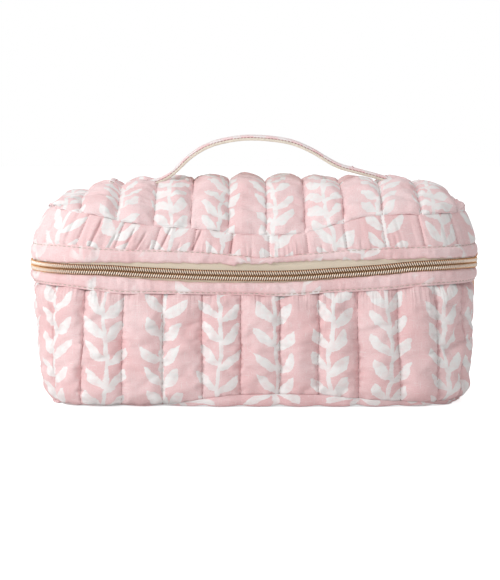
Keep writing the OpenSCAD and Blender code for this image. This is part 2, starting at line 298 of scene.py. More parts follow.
def leafVineGroup():
    # hand-printed vines: a swaying stem with a leaf on each side of every row
    group, start, end = shaderGroup(
        "leafVine",
        [("Vector", "NodeSocketVector", None), ("Shift", "NodeSocketVector", (0, 0, 0))],
        [("Mask", "NodeSocketFloat"), ("Ink", "NodeSocketFloat")])
    w = Wires(group)

    def varied(chance, middle, spread):
        return w.math("ADD", w.math("MULTIPLY", w.math("SUBTRACT", chance, 0.5), spread), middle)

    flat = w.vector("ADD", w.vector("SCALE", start.outputs["Vector"], scale=perMetre), start.outputs["Shift"])
    wobble = w.vector("SUBTRACT", w.noise(flat, 0.13, 1.0)[1], (0.5, 0.5, 0.5))
    ragged = w.vector("SUBTRACT", w.noise(flat, 0.9, 3.0, 0.65)[1], (0.5, 0.5, 0.5))
    drawn = w.vector("ADD", flat, w.vector("SCALE", wobble, scale=vine["wobble"]))
    drawn = w.vector("ADD", drawn, w.vector("SCALE", ragged, scale=vine["ragged"]))
    x, y, _ = w.split(drawn)
    column = w.math("DIVIDE", w.math("SUBTRACT", x, vine["phase"]), vine["pitch"])
    columnId = w.math("ROUND", column)
    local = w.math("MULTIPLY", w.math("SUBTRACT", column, columnId), vine["pitch"])
    swayStart = w.math("MULTIPLY", columnId, vine["swayStep"])
    sway = w.math("SINE", w.math("ADD", w.math("MULTIPLY", y, vine["swayTurn"]), swayStart))
    local = w.math("SUBTRACT", local, w.math("MULTIPLY", sway, vine["sway"]))
    side = w.math("SIGN", local)
    away = w.math("ABSOLUTE", local)
    shifted = w.math("ADD", y, w.math("MULTIPLY", w.white(w.join(columnId, 3.7, 1.1))[0], vine["row"]))
    rowPlace = w.math("DIVIDE", shifted, vine["row"])
    rowPlace = w.math("ADD", rowPlace, w.math("MULTIPLY", side, vine["rowOffset"]))
    rowId = w.math("FLOOR", rowPlace)
    up = w.math("MULTIPLY", w.math("SUBTRACT", rowPlace, rowId), vine["row"])
    chanceA, chanceB, chanceC = w.split(w.white(w.join(columnId, rowId, side))[1])
    angle = varied(chanceA, vine["angle"], vine["angleSpread"])
    length = varied(chanceB, vine["leaf"], vine["leafSpread"])
    half = varied(chanceC, vine["leafHalf"], vine["halfSpread"])
    upFromFoot = w.math("SUBTRACT", up, vine["leafFoot"])
    sine, cosine = w.math("SINE", angle), w.math("COSINE", angle)
    along = w.math("ADD", w.math("MULTIPLY", away, sine), w.math("MULTIPLY", upFromFoot, cosine))
    along = w.math("DIVIDE", along, length, clamp=True)
    across = w.math("SUBTRACT", w.math("MULTIPLY", away, cosine), w.math("MULTIPLY", upFromFoot, sine))
    hump = w.math("MULTIPLY", w.math("MULTIPLY", along, w.math("SUBTRACT", 1.0, along)), 4.0)
    across = w.math("SUBTRACT", across, w.math("MULTIPLY", hump, vine["leafCurl"]))
    fullness = w.math("POWER", hump, vine["leafFullness"])
    leaf = w.math("SUBTRACT", w.math("MULTIPLY", fullness, half), w.math("ABSOLUTE", across))
    stem = w.math("SUBTRACT", vine["stem"], away)
    mask = w.spread(w.math("MAXIMUM", leaf, stem), *vine["inkEdge"])
    patches = w.noise(flat, 0.22, 4.0, 0.6)[0]
    pores = w.noise(flat, 1.7, 2.0, 0.5)[0]
    thin = w.math("ADD", w.spread(patches, 0.42, 0.68, 0.0, 0.34), w.spread(pores, 0.52, 0.72, 0.0, 0.22))
    group.links.new(mask, end.inputs["Mask"])
    group.links.new(w.math("SUBTRACT", 1.0, thin, clamp=True), end.inputs["Ink"])
    return group


def weaveGroup():
    # plain weave: threads over and under, with thicker slubs here and there
    group, start, end = shaderGroup(
        "plainWeave",
        [("Vector", "NodeSocketVector", None), ("Thread", "NodeSocketFloat", 0.45)],
        [("Height", "NodeSocketFloat"), ("Slub", "NodeSocketFloat"), ("Fibre", "NodeSocketFloat")])
    w = Wires(group)
    flat = w.vector("SCALE", start.outputs["Vector"], scale=perMetre)
    loose = w.vector("SCALE", w.vector("SUBTRACT", w.noise(flat, 0.35, 2.0)[1], (0.5, 0.5, 0.5)), scale=0.5)
    x, y, _ = w.split(w.vector("ADD", flat, loose))
    turn = w.math("DIVIDE", 2 * math.pi, start.outputs["Thread"])
    warp = w.math("SINE", w.math("MULTIPLY", x, turn))
    weft = w.math("SINE", w.math("MULTIPLY", y, turn))
    weave = w.math("MULTIPLY", warp, weft)
    grain = w.noise(flat, 2.6, 3.0, 0.6)[0]
    height = w.math("ADD", w.math("MULTIPLY", weave, 0.30), w.math("MULTIPLY", grain, 0.9))
    stretchedX = w.vector("MULTIPLY", flat, (0.16, 1.5, 1.0))
    stretchedY = w.vector("MULTIPLY", flat, (1.5, 0.16, 1.0))
    slub = w.math("MAXIMUM", w.noise(stretchedX, 1.0, 2.0)[0], w.noise(stretchedY, 1.0, 2.0)[0])
    specks = w.spread(w.noise(flat, 0.75, 1.0)[0], 0.74, 0.80)
    group.links.new(w.math("ADD", height, w.math("MULTIPLY", specks, 0.6)), end.inputs["Height"])
    group.links.new(w.math("MAXIMUM", w.spread(slub, 0.60, 0.78), specks), end.inputs["Slub"])
    group.links.new(grain, end.inputs["Fibre"])
    return group


def twillGroup():
    # fine diagonal ribs
    group, start, end = shaderGroup(
        "twillRibs",
        [("Vector", "NodeSocketVector", None), ("Rib", "NodeSocketFloat", 0.9)],
        [("Height", "NodeSocketFloat"), ("Shade", "NodeSocketFloat")])
    w = Wires(group)
    flat = w.vector("SCALE", start.outputs["Vector"], scale=perMetre)
    x, y, _ = w.split(flat)
    zig = w.math("ABSOLUTE", w.math("SUBTRACT", w.math("FRACT", w.math("DIVIDE", y, 8.0)), 0.5))
    lane = w.math("ADD", x, w.math("MULTIPLY", zig, 12.0))
    ribs = w.math("SINE", w.math("MULTIPLY", lane, w.math("DIVIDE", 2 * math.pi, start.outputs["Rib"])))
    grain = w.noise(flat, 2.2, 2.0)[0]
    group.links.new(w.math("ADD", w.math("MULTIPLY", ribs, 0.5), grain), end.inputs["Height"])
    # partly painted shade: the colour darkens in the hollows between the ribs; partly random grain tone
    shade = w.spread(w.math("ADD", ribs, w.math("MULTIPLY", grain, 1.4)), -0.8, 1.7)
    group.links.new(shade, end.inputs["Shade"])
    return group


def puckerGroup():
    # short wrinkles that run across the sewn lines, and a soft crumple everywhere
    group, start, end = shaderGroup(
        "sewnPucker",
        [("Vector", "NodeSocketVector", None), ("Spacing", "NodeSocketFloat", 22.9),
         ("Offset", "NodeSocketFloat", -8.2)],
        [("Height", "NodeSocketFloat")])
    w = Wires(group)
    flat = w.vector("SCALE", start.outputs["Vector"], scale=perMetre)
    x, _, _ = w.split(flat)
    place = w.math("DIVIDE", w.math("SUBTRACT", x, start.outputs["Offset"]), start.outputs["Spacing"])
    away = w.math("ABSOLUTE", w.math("SUBTRACT", place, w.math("ROUND", place)))
    near = w.spread(away, 0.0, 0.30, 1.0, 0.12)
    across = w.noise(w.vector("MULTIPLY", flat, (0.11, 0.30, 1.0)), 1.0, 2.0, 0.5)[0]
    crumple = w.noise(w.vector("MULTIPLY", flat, (0.11, 0.07, 1.0)), 1.0, 3.0, 0.55)[0]
    group.links.new(w.math("ADD", w.math("MULTIPLY", across, near), w.math("MULTIPLY", crumple, 0.5)),
                    end.inputs["Height"])
    return group


leafVine = leafVineGroup()
sewnPucker = puckerGroup()
plainWeave = weaveGroup()
twillRibs = twillGroup()


# materials

def newMaterial(name, roughness, metallic=0.0, sheen=0.0):
    material = bpy.data.materials.new(name)
    material.use_nodes = True
    shader = material.node_tree.nodes["Principled BSDF"]
    shader.inputs["Roughness"].default_value = roughness
    shader.inputs["Metallic"].default_value = metallic
    shader.inputs["Sheen Weight"].default_value = sheen
    shader.inputs["Sheen Roughness"].default_value = 0.45
    return material, Wires(material.node_tree), shader


def clothUv(w):
    node = w.tree.nodes.new("ShaderNodeUVMap")
    node.uv_map = "UVMap"
    return node.outputs[0]


def placeGroup(w, group, **values):
    node = w.tree.nodes.new("ShaderNodeGroup")
    node.node_tree = group
    for label, value in values.items():
        w.put(node.inputs[label], value)
    return node.outputs


def addBump(w, shader, height, distance, strength=1.0, under=None):
    bump = w.tree.nodes.new("ShaderNodeBump")
    bump.inputs["Strength"].default_value = strength
    bump.inputs["Distance"].default_value = distance
    w.put(bump.inputs["Height"], height)
    if under is not None:
        w.put(bump.inputs["Normal"], under)
    w.put(shader.inputs["Normal"], bump.outputs[0])
    return bump.outputs[0]


cotton = {
    "colour": (0.872, 0.575, 0.583),
    "print": (0.92, 0.91, 0.90),
    "deep": (0.97, 0.90, 0.90),  # times the colour
    "pale": (1.03, 1.12, 1.12),
    "fibre": (0.93, 0.74, 0.74),
    "speck": (0.76, 0.42, 0.43),
    "slub": (0.95, 0.86, 0.85),
    "fibreShare": 0.30,
    "speckShare": 0.34,
    "slubShare": 0.60,
    "roughness": 0.88,
    "sheen": 0.06,
    "thread": 0.5,  # mm
    "pucker": 1.9 * mm,
    "weave": 0.2 * mm,
}


def printedCotton(name, shift=(0, 0, 0), amount=1.0, paintedLight=(1.0, 1.0, 1.0), patchy=False, gathers=None):
    material, w, shader = newMaterial(name, cotton["roughness"], sheen=cotton["sheen"])
    uv = clothUv(w)
    mask, ink = placeGroup(w, leafVine, Vector=uv, Shift=shift)[:2]
    height, slub, fibre = placeGroup(w, plainWeave, Vector=uv, Thread=cotton["thread"])[:3]
    flat = w.vector("SCALE", uv, scale=perMetre)
    broad = w.noise(flat, 0.03, 3.0)[0]
    # paintedLight is painted light: it makes each panel's copy of the same pink paler, most on the lid top
    # and the strap's ribbon, which face up to the lamps, least on the walls
    pink = tuple(min(1, c * k) for c, k in zip(cotton["colour"], paintedLight))
    deep = tuple(c * k for c, k in zip(pink, cotton["deep"]))
    pale = tuple(min(1, c * k) for c, k in zip(pink, cotton["pale"]))
    ground = w.mix(w.spread(broad, 0.35, 0.65), deep, pale)
    speck = w.spread(w.noise(flat, 1.35, 2.0, 0.6)[0], 0.50, 0.66)
    ground = w.mix(w.spread(fibre, 0.35, 0.65, 0.0, cotton["fibreShare"]), ground, cotton["fibre"])
    ground = w.mix(w.math("MULTIPLY", speck, cotton["speckShare"]), ground, cotton["speck"])
    ground = w.mix(w.math("MULTIPLY", slub, cotton["slubShare"]), ground, cotton["slub"])
    cover = w.math("MULTIPLY", w.math("MULTIPLY", mask, ink), amount)
    if patchy:
        cover = w.math("MULTIPLY", cover, w.spread(w.noise(flat, 0.045, 1.0)[0], 0.50, 0.58))
    w.put(shader.inputs["Base Color"], w.mix(cover, ground, cotton["print"]))
    pucker = placeGroup(w, sewnPucker, Vector=uv)["Height"]
    if gathers is not None:
        # fine upright wrinkles beside a gathered seam: from none to full between two heights in mm
        fine = w.noise(w.vector("MULTIPLY", flat, (0.55, 0.045, 1.0)), 1.0, 1.0)[0]
        near = w.spread(w.split(flat)[1], gathers[0], gathers[1])
        pucker = w.math("ADD", pucker, w.math("MULTIPLY", fine, w.math("MULTIPLY", near, 0.9)))
    soft = addBump(w, shader, pucker, cotton["pucker"], 0.7)
    printed = w.math("ADD", height, w.math("MULTIPLY", mask, 0.25))  # the ink stands a little proud
    addBump(w, shader, printed, cotton["weave"], 0.6, soft)
    return material


def plainCloth(name, colour):
    material, w, shader = newMaterial(name, 0.88, sheen=0.15)
    uv = clothUv(w)
    height, slub, fibre = placeGroup(w, plainWeave, Vector=uv, Thread=cotton["thread"])[:3]
    dark = tuple(c * 0.90 for c in colour)
    shade = w.mix(w.spread(fibre, 0.3, 0.7), dark, colour)
    shade = w.mix(w.math("MULTIPLY", slub, 0.3), shade, tuple(min(1, c * 1.12) for c in colour))
    w.put(shader.inputs["Base Color"], shade)
    addBump(w, shader, height, 0.14 * mm, 0.6)
    return material


def twillCloth(name, colour, rib=0.9):
    material, w, shader = newMaterial(name, 0.8, sheen=0.12)
    height, shade = placeGroup(w, twillRibs, Vector=clothUv(w), Rib=rib)[:2]
    # dark is partly the painted shade of the rib hollows, partly random grain tone
    dark = tuple(c * 0.80 for c in colour)
    w.put(shader.inputs["Base Color"], w.mix(shade, dark, colour))
    addBump(w, shader, height, 0.22 * mm, 0.8)
    return material


def platedMetal(name, colour, roughness):
    grainScale = 900.0
    material, w, shader = newMaterial(name, roughness, metallic=1.0)
    place = w.tree.nodes.new("ShaderNodeTexCoord").outputs["Object"]
    smear = w.noise(place, grainScale, 3.0, 0.6)[0]
    wearAndHighlight = w.noise(place, grainScale * 0.2, 2.0)[0]
    bright = tuple(min(1, c * 1.15) for c in colour)
    w.put(shader.inputs["Base Color"], w.mix(w.spread(wearAndHighlight, 0.4, 0.65), colour, bright))
    w.put(shader.inputs["Roughness"], w.spread(smear, 0.3, 0.7, roughness * 0.7, roughness * 1.5))
    addBump(w, shader, smear, 0.01 * mm, 0.4)
    return material


def threadMaterial(name, colour):
    material, w, shader = newMaterial(name, 0.7, sheen=0.3)
    place = w.tree.nodes.new("ShaderNodeTexCoord").outputs["Object"]
    fuzz = w.noise(place, 2600.0, 2.0)[0]
    w.put(shader.inputs["Base Color"], w.mix(fuzz, tuple(c * 0.75 for c in colour), colour))
    addBump(w, shader, fuzz, 0.05 * mm, 0.5)
    return material


coilLook = {
    "dark": (0.74, 0.36, 0.14),
    "copper": (0.95, 0.53, 0.24),
    # painted highlight colour for the middle of each turn
    "wearAndHighlight": (0.98, 0.85, 0.73),
    "highlightShare": (0.22, 0.60),
    "roughness": 0.32,
    "metallic": 0.35,
}


def coilTeeth():
    # copper at both ends of each turn, with a painted highlight: pale in the middle of each turn, where it
    # stands out
    material, w, shader = newMaterial("coilMetal", coilLook["roughness"], metallic=coilLook["metallic"])
    _, along, _ = w.split(clothUv(w))
    end = w.math("MULTIPLY", w.math("ABSOLUTE", w.math("SUBTRACT", along, 0.5)), 2.0)
    place = w.tree.nodes.new("ShaderNodeTexCoord").outputs["Object"]
    grain = w.noise(place, 1500.0, 2.0)[0]
    copper = w.mix(grain, coilLook["dark"], coilLook["copper"])
    # painted highlight: the middle of each turn is pale, its ends copper
    w.put(shader.inputs["Base Color"], w.mix(w.spread(end, *coilLook["highlightShare"]), coilLook["wearAndHighlight"], copper))
    w.put(shader.inputs["Roughness"], w.spread(grain, 0.3, 0.7, 0.24, 0.40))
    return material


# the paintedLight values paint light onto each panel's pink: palest on the upward-facing lid top and ribbon,
# plainest on the wall and bottom
printOnWall = printedCotton("printedCottonWall", paintedLight=(1.0, 1.03, 1.02), gathers=(56, 72))
printOnLid = printedCotton("printedCottonLid", (1.0, 4.0, 0), paintedLight=(1.08, 1.19, 1.18))
printOnSkirt = printedCotton("printedCottonSkirt", (-1.5, 41.0, 0), paintedLight=(1.04, 1.09, 1.08),
                             gathers=(106, 96))
printOnBottom = printedCotton("printedCottonBottom", (6.0, 9.0, 0))
facingCloth = printedCotton("facingCotton", (17.0, 3.4, 0), amount=0.85, paintedLight=(1.03, 1.09, 1.08), patchy=True)
ribbonCloth = printedCotton("ribbonCotton", (9.0, 27.0, 0), amount=0.85, paintedLight=(1.11, 1.22, 1.22))
hingeCotton = printedCotton("hingeCotton", (17.0, 70.0, 0), amount=0.8, patchy=True)
liningCloth = plainCloth("liningCotton", (0.80, 0.73, 0.63))
seamTapeCloth = twillCloth("seamTape", (0.78, 0.70, 0.60), 0.8)
zipTapeCloth = twillCloth("zipTapeTwill", (0.99, 0.87, 0.70), 0.9)
webbingCloth = twillCloth("strapTwill", (0.98, 0.90, 0.76), 1.1)
coilMetal = coilTeeth()
# coilShade is a painted shade: the dark colour of the strip behind the coil's turns
coilShade = threadMaterial("paintedCoilGapShade", (0.13, 0.06, 0.035))
roseGold = platedMetal("roseGold", (0.80, 0.50, 0.38), 0.22)
greyThread = threadMaterial("runningThread", (0.66, 0.56, 0.48))
pinkThread = threadMaterial("quiltingThread", (0.66, 0.40, 0.39))
ribbonEdge = threadMaterial("ribbonEdgeThread", (0.60, 0.30, 0.32))
print("materials made")


# mesh helpers

def finishMesh(bm, name, material, body, replaces=(), thickness=0.0, smooth=True):
    mesh = bpy.data.meshes.new(name)
    bm.to_mesh(mesh)
    bm.free()
    piece = bpy.data.objects.new(name, mesh)
    bpy.context.scene.collection.objects.link(piece)
    mesh.materials.append(material)
    if smooth:
        mesh.shade_smooth()
    if thickness:
        wall = piece.modifiers.new("thickness", "SOLIDIFY")
        wall.thickness = thickness
        wall.offset = -1
    if replaces:
        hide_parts(*replaces)
    if body:
        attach(piece, body)
    return piece


def clothGrid(across, down, place, uvAt):
    # flat grid laid over a surface: place and uvAt take two shares from 0 to 1
    bm = bmesh.new()
    bmesh.ops.create_grid(bm, x_segments=across, y_segments=down, size=0.5)
    layer = bm.loops.layers.uv.new("UVMap")
    for face in bm.faces:
        for loop in face.loops:
            loop[layer].uv = uvAt(loop.vert.co.x + 0.5, loop.vert.co.y + 0.5)
    for vert in bm.verts:
        vert.co = place(vert.co.x + 0.5, vert.co.y + 0.5)
    return bm


def mergeDoubles(bm):
    bmesh.ops.remove_doubles(bm, verts=bm.verts, dist=0.001 * mm)


def faceUpwards(bm, up=1):
    # an open panel: turned if most of it faces down, or up where up is -1
    bm.normal_update()
    if sum(f.normal.z for f in bm.faces) * up < 0:
        bmesh.ops.reverse_faces(bm, faces=bm.faces)


def faceOutwards(bm, middle):
    # an open sheet round the bag: turned if most of it faces the middle
    bm.normal_update()
    outwardness = sum((f.calc_center_median() - middle).dot(f.normal) * f.calc_area() for f in bm.faces)
    if outwardness < 0:
        bmesh.ops.reverse_faces(bm, faces=bm.faces)


bagMiddle = Vector((0, 0, 70 * mm))


# cloth simulation

puckering = {
    "frames": 18,
    "stiffness": 14.0,
    "bending": 0.25,
    "damping": 4,
    "mass": 0.2,
    "quality": 6,
    "scale": 10.0,  # simulated larger, so that the solver's default sizes suit it
    "cap": 5 * mm,
}


def relax(piece, pins, spareCloth):
    # the cloth has a little more length than its stitches leave it, so it puckers between them
    scale, cap, frames = puckering["scale"], puckering["cap"], puckering["frames"]
    mesh = piece.data
    before = [v.co.copy() for v in mesh.vertices]
    mesh.transform(Matrix.Scale(scale, 4))
    group = piece.vertex_groups.new(name="stitched")
    for index, weight in enumerate(pins):
        if weight > 0:
            group.add([index], weight, "REPLACE")
    cloth = piece.modifiers.new("cloth", "CLOTH")
    settings = cloth.settings
    settings.quality = puckering["quality"]
    settings.mass = puckering["mass"]
    settings.tension_stiffness = puckering["stiffness"]
    settings.compression_stiffness = puckering["stiffness"]
    settings.shear_stiffness = puckering["stiffness"] / 2
    settings.bending_stiffness = puckering["bending"]
    settings.air_damping = puckering["damping"]
    settings.shrink_min = -spareCloth
    settings.effector_weights.gravity = 0
    settings.vertex_group_mass = "stitched"
    cloth.collision_settings.use_collision = False
    cloth.collision_settings.use_self_collision = False
    cloth.point_cache.frame_start = 1
    cloth.point_cache.frame_end = frames
    scene = bpy.context.scene
    scene.frame_start, scene.frame_end = 1, frames
    for step in range(1, frames + 1):
        scene.frame_set(step)
    shown = piece.evaluated_get(bpy.context.evaluated_depsgraph_get())
    after = [v.co.copy() / scale for v in shown.data.vertices]
    piece.modifiers.remove(cloth)
    piece.vertex_groups.remove(group)
    for vert, old, new in zip(mesh.vertices, before, after):
        move = new - old
        if move.length > cap:
            move *= cap / move.length
        vert.co = old + move
    mesh.update()
    scene.frame_set(1)


# quilting

quilt = {
    "channels": 33,
    "columnsPerChannel": 16,
    "firstLine": -8.2 * mm,
    "skirtShift": -6.2 * mm,
    "lineTolerance": 0.006,
    "closer": 0.66,
    "crease": 0.9 * mm,
    "creaseHalf": 0.75 * mm,
    "cloth": 1.0 * mm,
    "stitchRadius": 0.17 * mm,
    "stitchLift": 0.1 * mm,
    "stitchLengths": (0.5 * mm, 6 * mm),
    "wander": 0.9 * mm,
}
channelPitch = girth / quilt["channels"]
ringColumns = quilt["channels"] * quilt["columnsPerChannel"]
ringStart = quilt["firstLine"] - (quilt["channels"] // 2) * channelPitch


def channelShare(s):
    return ((s - ringStart) / channelPitch) % 1.0


def isOnLine(share):
    return min(share, 1 - share) < quilt["lineTolerance"]


def lineCrease(share, pitch):
    # the narrow dip that the stitches pull into the cloth
    away = min(share, 1 - share) * pitch
    return quilt["crease"] * math.exp(-(away / quilt["creaseHalf"]) ** 2)


def closerToLines(share, pitch):
    # how far a column moves along the cloth, so that the columns crowd together at the lines
    return -quilt["closer"] * math.sin(2 * math.pi * share) / (2 * math.pi) * pitch


def openEdgeVertices(mesh):
    count = {}
    for polygon in mesh.polygons:
        for key in polygon.edge_keys:
            count[key] = count.get(key, 0) + 1
    return {v for key, n in count.items() if n == 1 for v in key}


def uvOfVertices(mesh):
    layer = mesh.uv_layers["UVMap"].data
    place = [None] * len(mesh.vertices)
    for loop in mesh.loops:
        place[loop.vertex_index] = layer[loop.index].uv.copy()
    return place


def stitchPins(piece, held):
    # the stitched lines and the sewn edges are held
    edges = openEdgeVertices(piece.data)
    return [1.0 if i in edges or held(uv) else 0.0 for i, uv in enumerate(uvOfVertices(piece.data))]


def addThickness(piece, amount):
    wall = piece.modifiers.new("thickness", "SOLIDIFY")
    wall.thickness = amount
    wall.offset = -1


def ringSheet(name, material, body, replaces, rows, place, uvHeight, thickness, inside=False,
              reach=None, columns=None, shift=0.0, crowded=False):
    # a strip of cloth round the bag: the whole way, or as far as reach on both sides of the front
    start, length = (ringStart + shift, girth) if reach is None else (-reach, 2 * reach)

    def at(u):
        s = start + u * length
        return s + closerToLines(channelShare(s), channelPitch) if crowded else s

    bm = clothGrid(columns or ringColumns, rows, lambda u, t: place(at(u), t),
                   lambda u, t: (at(u), uvHeight(at(u), t)))
    if reach is None:
        mergeDoubles(bm)
    faceOutwards(bm, bagMiddle)
    if inside:
        bmesh.ops.reverse_faces(bm, faces=bm.faces)
    return finishMesh(bm, name, material, body, replaces, thickness)


# stitches

class Stamp:
    # one small rounded shape, copied wherever it is wanted

    def __init__(self, sides, rings):
        bm = bmesh.new()
        bm.loops.layers.uv.new("UVMap")
        bmesh.ops.create_uvsphere(bm, u_segments=sides, v_segments=rings, radius=1.0, calc_uvs=True)
        self.shape = bpy.data.meshes.new("stampShape")
        bm.to_mesh(self.shape)
        bm.free()
        self.rest = [c for v in self.shape.vertices for c in v.co]

    def press(self, bm, matrix):
        self.shape.vertices.foreach_set("co", self.rest)
        self.shape.transform(matrix)
        bm.from_mesh(self.shape)


threadShape = Stamp(6, 4)
toothShape = Stamp(8, 6)


def addStitch(bm, a, b, radius):
    along = b - a
    turn = along.to_track_quat("Z", "Y").to_matrix().to_4x4()
    size = Matrix.Diagonal((radius, radius, along.length / 2, 1))
    threadShape.press(bm, Matrix.Translation((a + b) / 2) @ turn @ size)


def runningStitches(name, route, count, share, radius, material, body):
    # count stitches along a route, each covering part of its step
    bm = bmesh.new()
    for i in range(count):
        a, b = route((i + 0.5 - share / 2) / count), route((i + 0.5 + share / 2) / count)
        addStitch(bm, a, b, radius)
    return finishMesh(bm, name, material, body)


def quiltingStitches(name, piece, lineOf, body):
    # dashes on the sewn lines, laid on the finished surface, with a gap after each
    mesh, lift = piece.data, quilt["stitchLift"]
    shortest, longest = quilt["stitchLengths"]
    lines = {}
    for i, uv in enumerate(uvOfVertices(mesh)):
        line = lineOf(uv)
        if line is not None:
            lines.setdefault(line, []).append((uv.y, i))
    bm = bmesh.new()
    for members in lines.values():
        members.sort()
        for (_, i), (_, j) in list(zip(members, members[1:]))[::2]:
            a = mesh.vertices[i].co + mesh.vertices[i].normal * lift
            b = mesh.vertices[j].co + mesh.vertices[j].normal * lift
            if shortest < (b - a).length < longest:
                addStitch(bm, a, b, quilt["stitchRadius"])
    return finishMesh(bm, name, pinkThread, body)


# lower wall

lowerWall = {
    "rows": 44,
    "bulge": 3.4 * mm,
    "setBack": 2.3 * mm,
    "sideIn": 2.6 * mm,
    "rightIn": 0.4 * mm,
    "taper": 2.6 * mm,
    "taperLeft": 5.6 * mm,
    "taperRight": 1.6 * mm,
    "turnUnder": 4.2 * mm,
    "turnHeight": 7.5 * mm,
    "turnFade": (2.5 * mm, 6.5 * mm),
    "topIn": 1.0 * mm,
    "clear": 1.3 * mm,
    "belly": 2.5 * mm,
    "bellyFade": (200 * mm, 60 * mm),
    "lean": 5.5 * mm,
    "leanStart": (40 * mm, 120 * mm),
    "leanEnd": (125 * mm, 170 * mm),
    "crumple": 1.5 * mm,
    "pucker": 0.9 * mm,
    "linePucker": 1.5 * mm,
    "spareCloth": 0.055,
    "folds": [  # place round the bag, height, width, length, depth and slant, in mm
        (-62, 57, 5, 5, 3.6, 0.6), (-56, 50, 4, 8, -3.0, -0.4), (-66, 46, 6, 4, 1.8, 0.9),
        (124, 44, 4, 12, -3.4, 0.5), (131, 34, 4, 11, 2.6, 0.5), (127, 20, 5, 7, -1.8, -0.5),
        (-121, 46, 4, 7, -2.6, 0.6), (-126, 38, 5, 6, 2.2, 0.7), (-116, 30, 5, 12, -1.8, 0.2),
        (20, 16, 9, 4, -1.4, 0.3), (-22, 60, 6, 4, -1.8, 0.8), (104, 22, 7, 5, -1.5, -0.6),
        (60, 60, 5, 7, -1.6, -0.4), (-38, 52, 5, 6, -1.6, 0.5), (-92, 57, 5, 4, -1.8, 0.7)],
}


def foldAt(folds, s, z):
    total = 0.0
    for s0, z0, width, length, depth, slant in folds:
        dz = z / mm - z0
        ds = s / mm - s0 - slant * dz
        total += depth * math.exp(-(ds / width) ** 2 - (dz / length) ** 2)
    return total * mm


bagEnds = {"start": (95 * mm, 150 * mm), "end": (235 * mm, 290 * mm)}


def sideShare(s):
    # 1 on the two ends of the bag, 0 on its front and back
    d = abs(wrapGirth(s))
    return ease(*bagEnds["start"], d) * (1 - ease(*bagEnds["end"], d))


def wallOut(s, z, bottom, top):
    # how far the wall stands out from the plan: it tapers down and turns under at the bottom
    height = (z - bottom) / (top - bottom)
    under = max(0, 1 - (z - bottom) / lowerWall["turnHeight"]) * (1 - ease(*lowerWall["turnFade"], bottom))
    belly = math.sin(math.pi * min(1, max(0, height))) * ease(*lowerWall["bellyFade"], abs(wrapGirth(s)))
    onSide = sideShare(s)
    endTaper = lowerWall["taperLeft"] if wrapGirth(s) < 0 else lowerWall["taperRight"]
    taper = lowerWall["taper"] + (endTaper - lowerWall["taper"]) * onSide
    sideIn = lowerWall["sideIn"] + (lowerWall["rightIn"] if wrapGirth(s) > 0 else 0)
    return (lowerWall["belly"] * belly - taper * max(0, 1 - height) ** 1.2 - sideIn * onSide
            - lowerWall["turnUnder"] * under ** 2.0 - lowerWall["topIn"] * ease(0.93, 1.0, height))


def lineWander(line, t, seed):
    # how far a sewn line strays from straight at a share t of its length
    return quilt["wander"] * ripple(line * 3.1, t * 2.4, 1.0, seed)


def lowerWallPlace(s, t):
    d = abs(wrapGirth(s))
    lean = lowerWall["lean"] * ease(*lowerWall["leanStart"], d) * (1 - ease(*lowerWall["leanEnd"], d))
    line = round((s - ringStart) / channelPitch) % quilt["channels"]
    shifted = s + math.copysign(lean * (1 - t), wrapGirth(s)) + lineWander(line, t, 4.0)
    s = wrapGirth(s)
    bottom, top = bottomSeamZ(s), lowerStitchZ(s)
    z = bottom + (top - bottom) * t
    edge = ease(0, 0.14, t) * ease(0, 0.10, 1 - t)
    share = channelShare(s)
    middle = math.sin(math.pi * share)
    puff = middle ** 0.62 * lowerWall["bulge"] * (0.45 + 0.55 * edge)
    crumple = wallRipple(s, z, 0.055, 2.0) * lowerWall["crumple"] * edge
    pucker = wallRipple(s, z, 0.19, 7.0) * lowerWall["pucker"] * (1 - 0.4 * edge)
    pucker += wallRipple(s, z, 0.09, 9.0, 3.6) * lowerWall["linePucker"] * (1 - middle ** 0.8)
    out = wallOut(s, z, bottom, top) + puff - lowerWall["setBack"] + crumple + pucker
    out -= lineCrease(share, channelPitch) * (0.4 + 0.6 * edge)
    point = around(shifted, out + foldAt(lowerWall["folds"], s, z), z)
    point.z = max(point.z, lowerWall["clear"])
    return point


def makeLowerWall():
    def uvHeight(s, t):
        return bottomSeamZ(s) + (lowerStitchZ(s) - bottomSeamZ(s)) * t

    piece = ringSheet("lowerWallQuilt", printOnWall, None, (), lowerWall["rows"],
                      lowerWallPlace, uvHeight, 0, crowded=True)
    relax(piece, stitchPins(piece, lambda uv: isOnLine(channelShare(uv.x))), lowerWall["spareCloth"])
    addThickness(piece, quilt["cloth"])
    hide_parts("base_wall_band", "base_back_panel", "base_wall_wadding", "base_back_wadding")
    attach(piece, "base")
    return piece


def ringLineOf(uv):
    return round((uv.x - ringStart) / channelPitch) if isOnLine(channelShare(uv.x)) else None


lowerWallQuilt = makeLowerWall()
quiltingStitches("lowerWallStitches", lowerWallQuilt, ringLineOf, "base")
print("lower wall made")


# bottom panel

bottomPanel = {
    "columns": 140,
    "rows": 84,
    "bulge": 1.6 * mm,
    "firstLine": 0.34,
    "clear": 0.25 * mm,
    "inset": 5.5 * mm,
    "lip": 18 * mm,
    "fall": 8 * mm,
    "flatEdge": 10 * mm,
    "lipBulge": 1.4 * mm,
    "lipHeights": (2 * mm, 7 * mm),
    "tuck": 0.3 * mm,
    "edgeCrowding": 0.6,
}


def panelEnds(x):
    # front and back of the plan at x
    w, h, rf, rb = bag["halfWidth"], bag["halfDepth"], bag["frontCorner"], bag["backCorner"]
    d = min(abs(x), w)
    front, back = -h, h
    if d > w - rf:
        front = rf - h - math.sqrt(max(0, rf * rf - (d - w + rf) ** 2))
    if d > w - rb:
        back = h - rb + math.sqrt(max(0, rb * rb - (d - w + rb) ** 2))
    return front, back


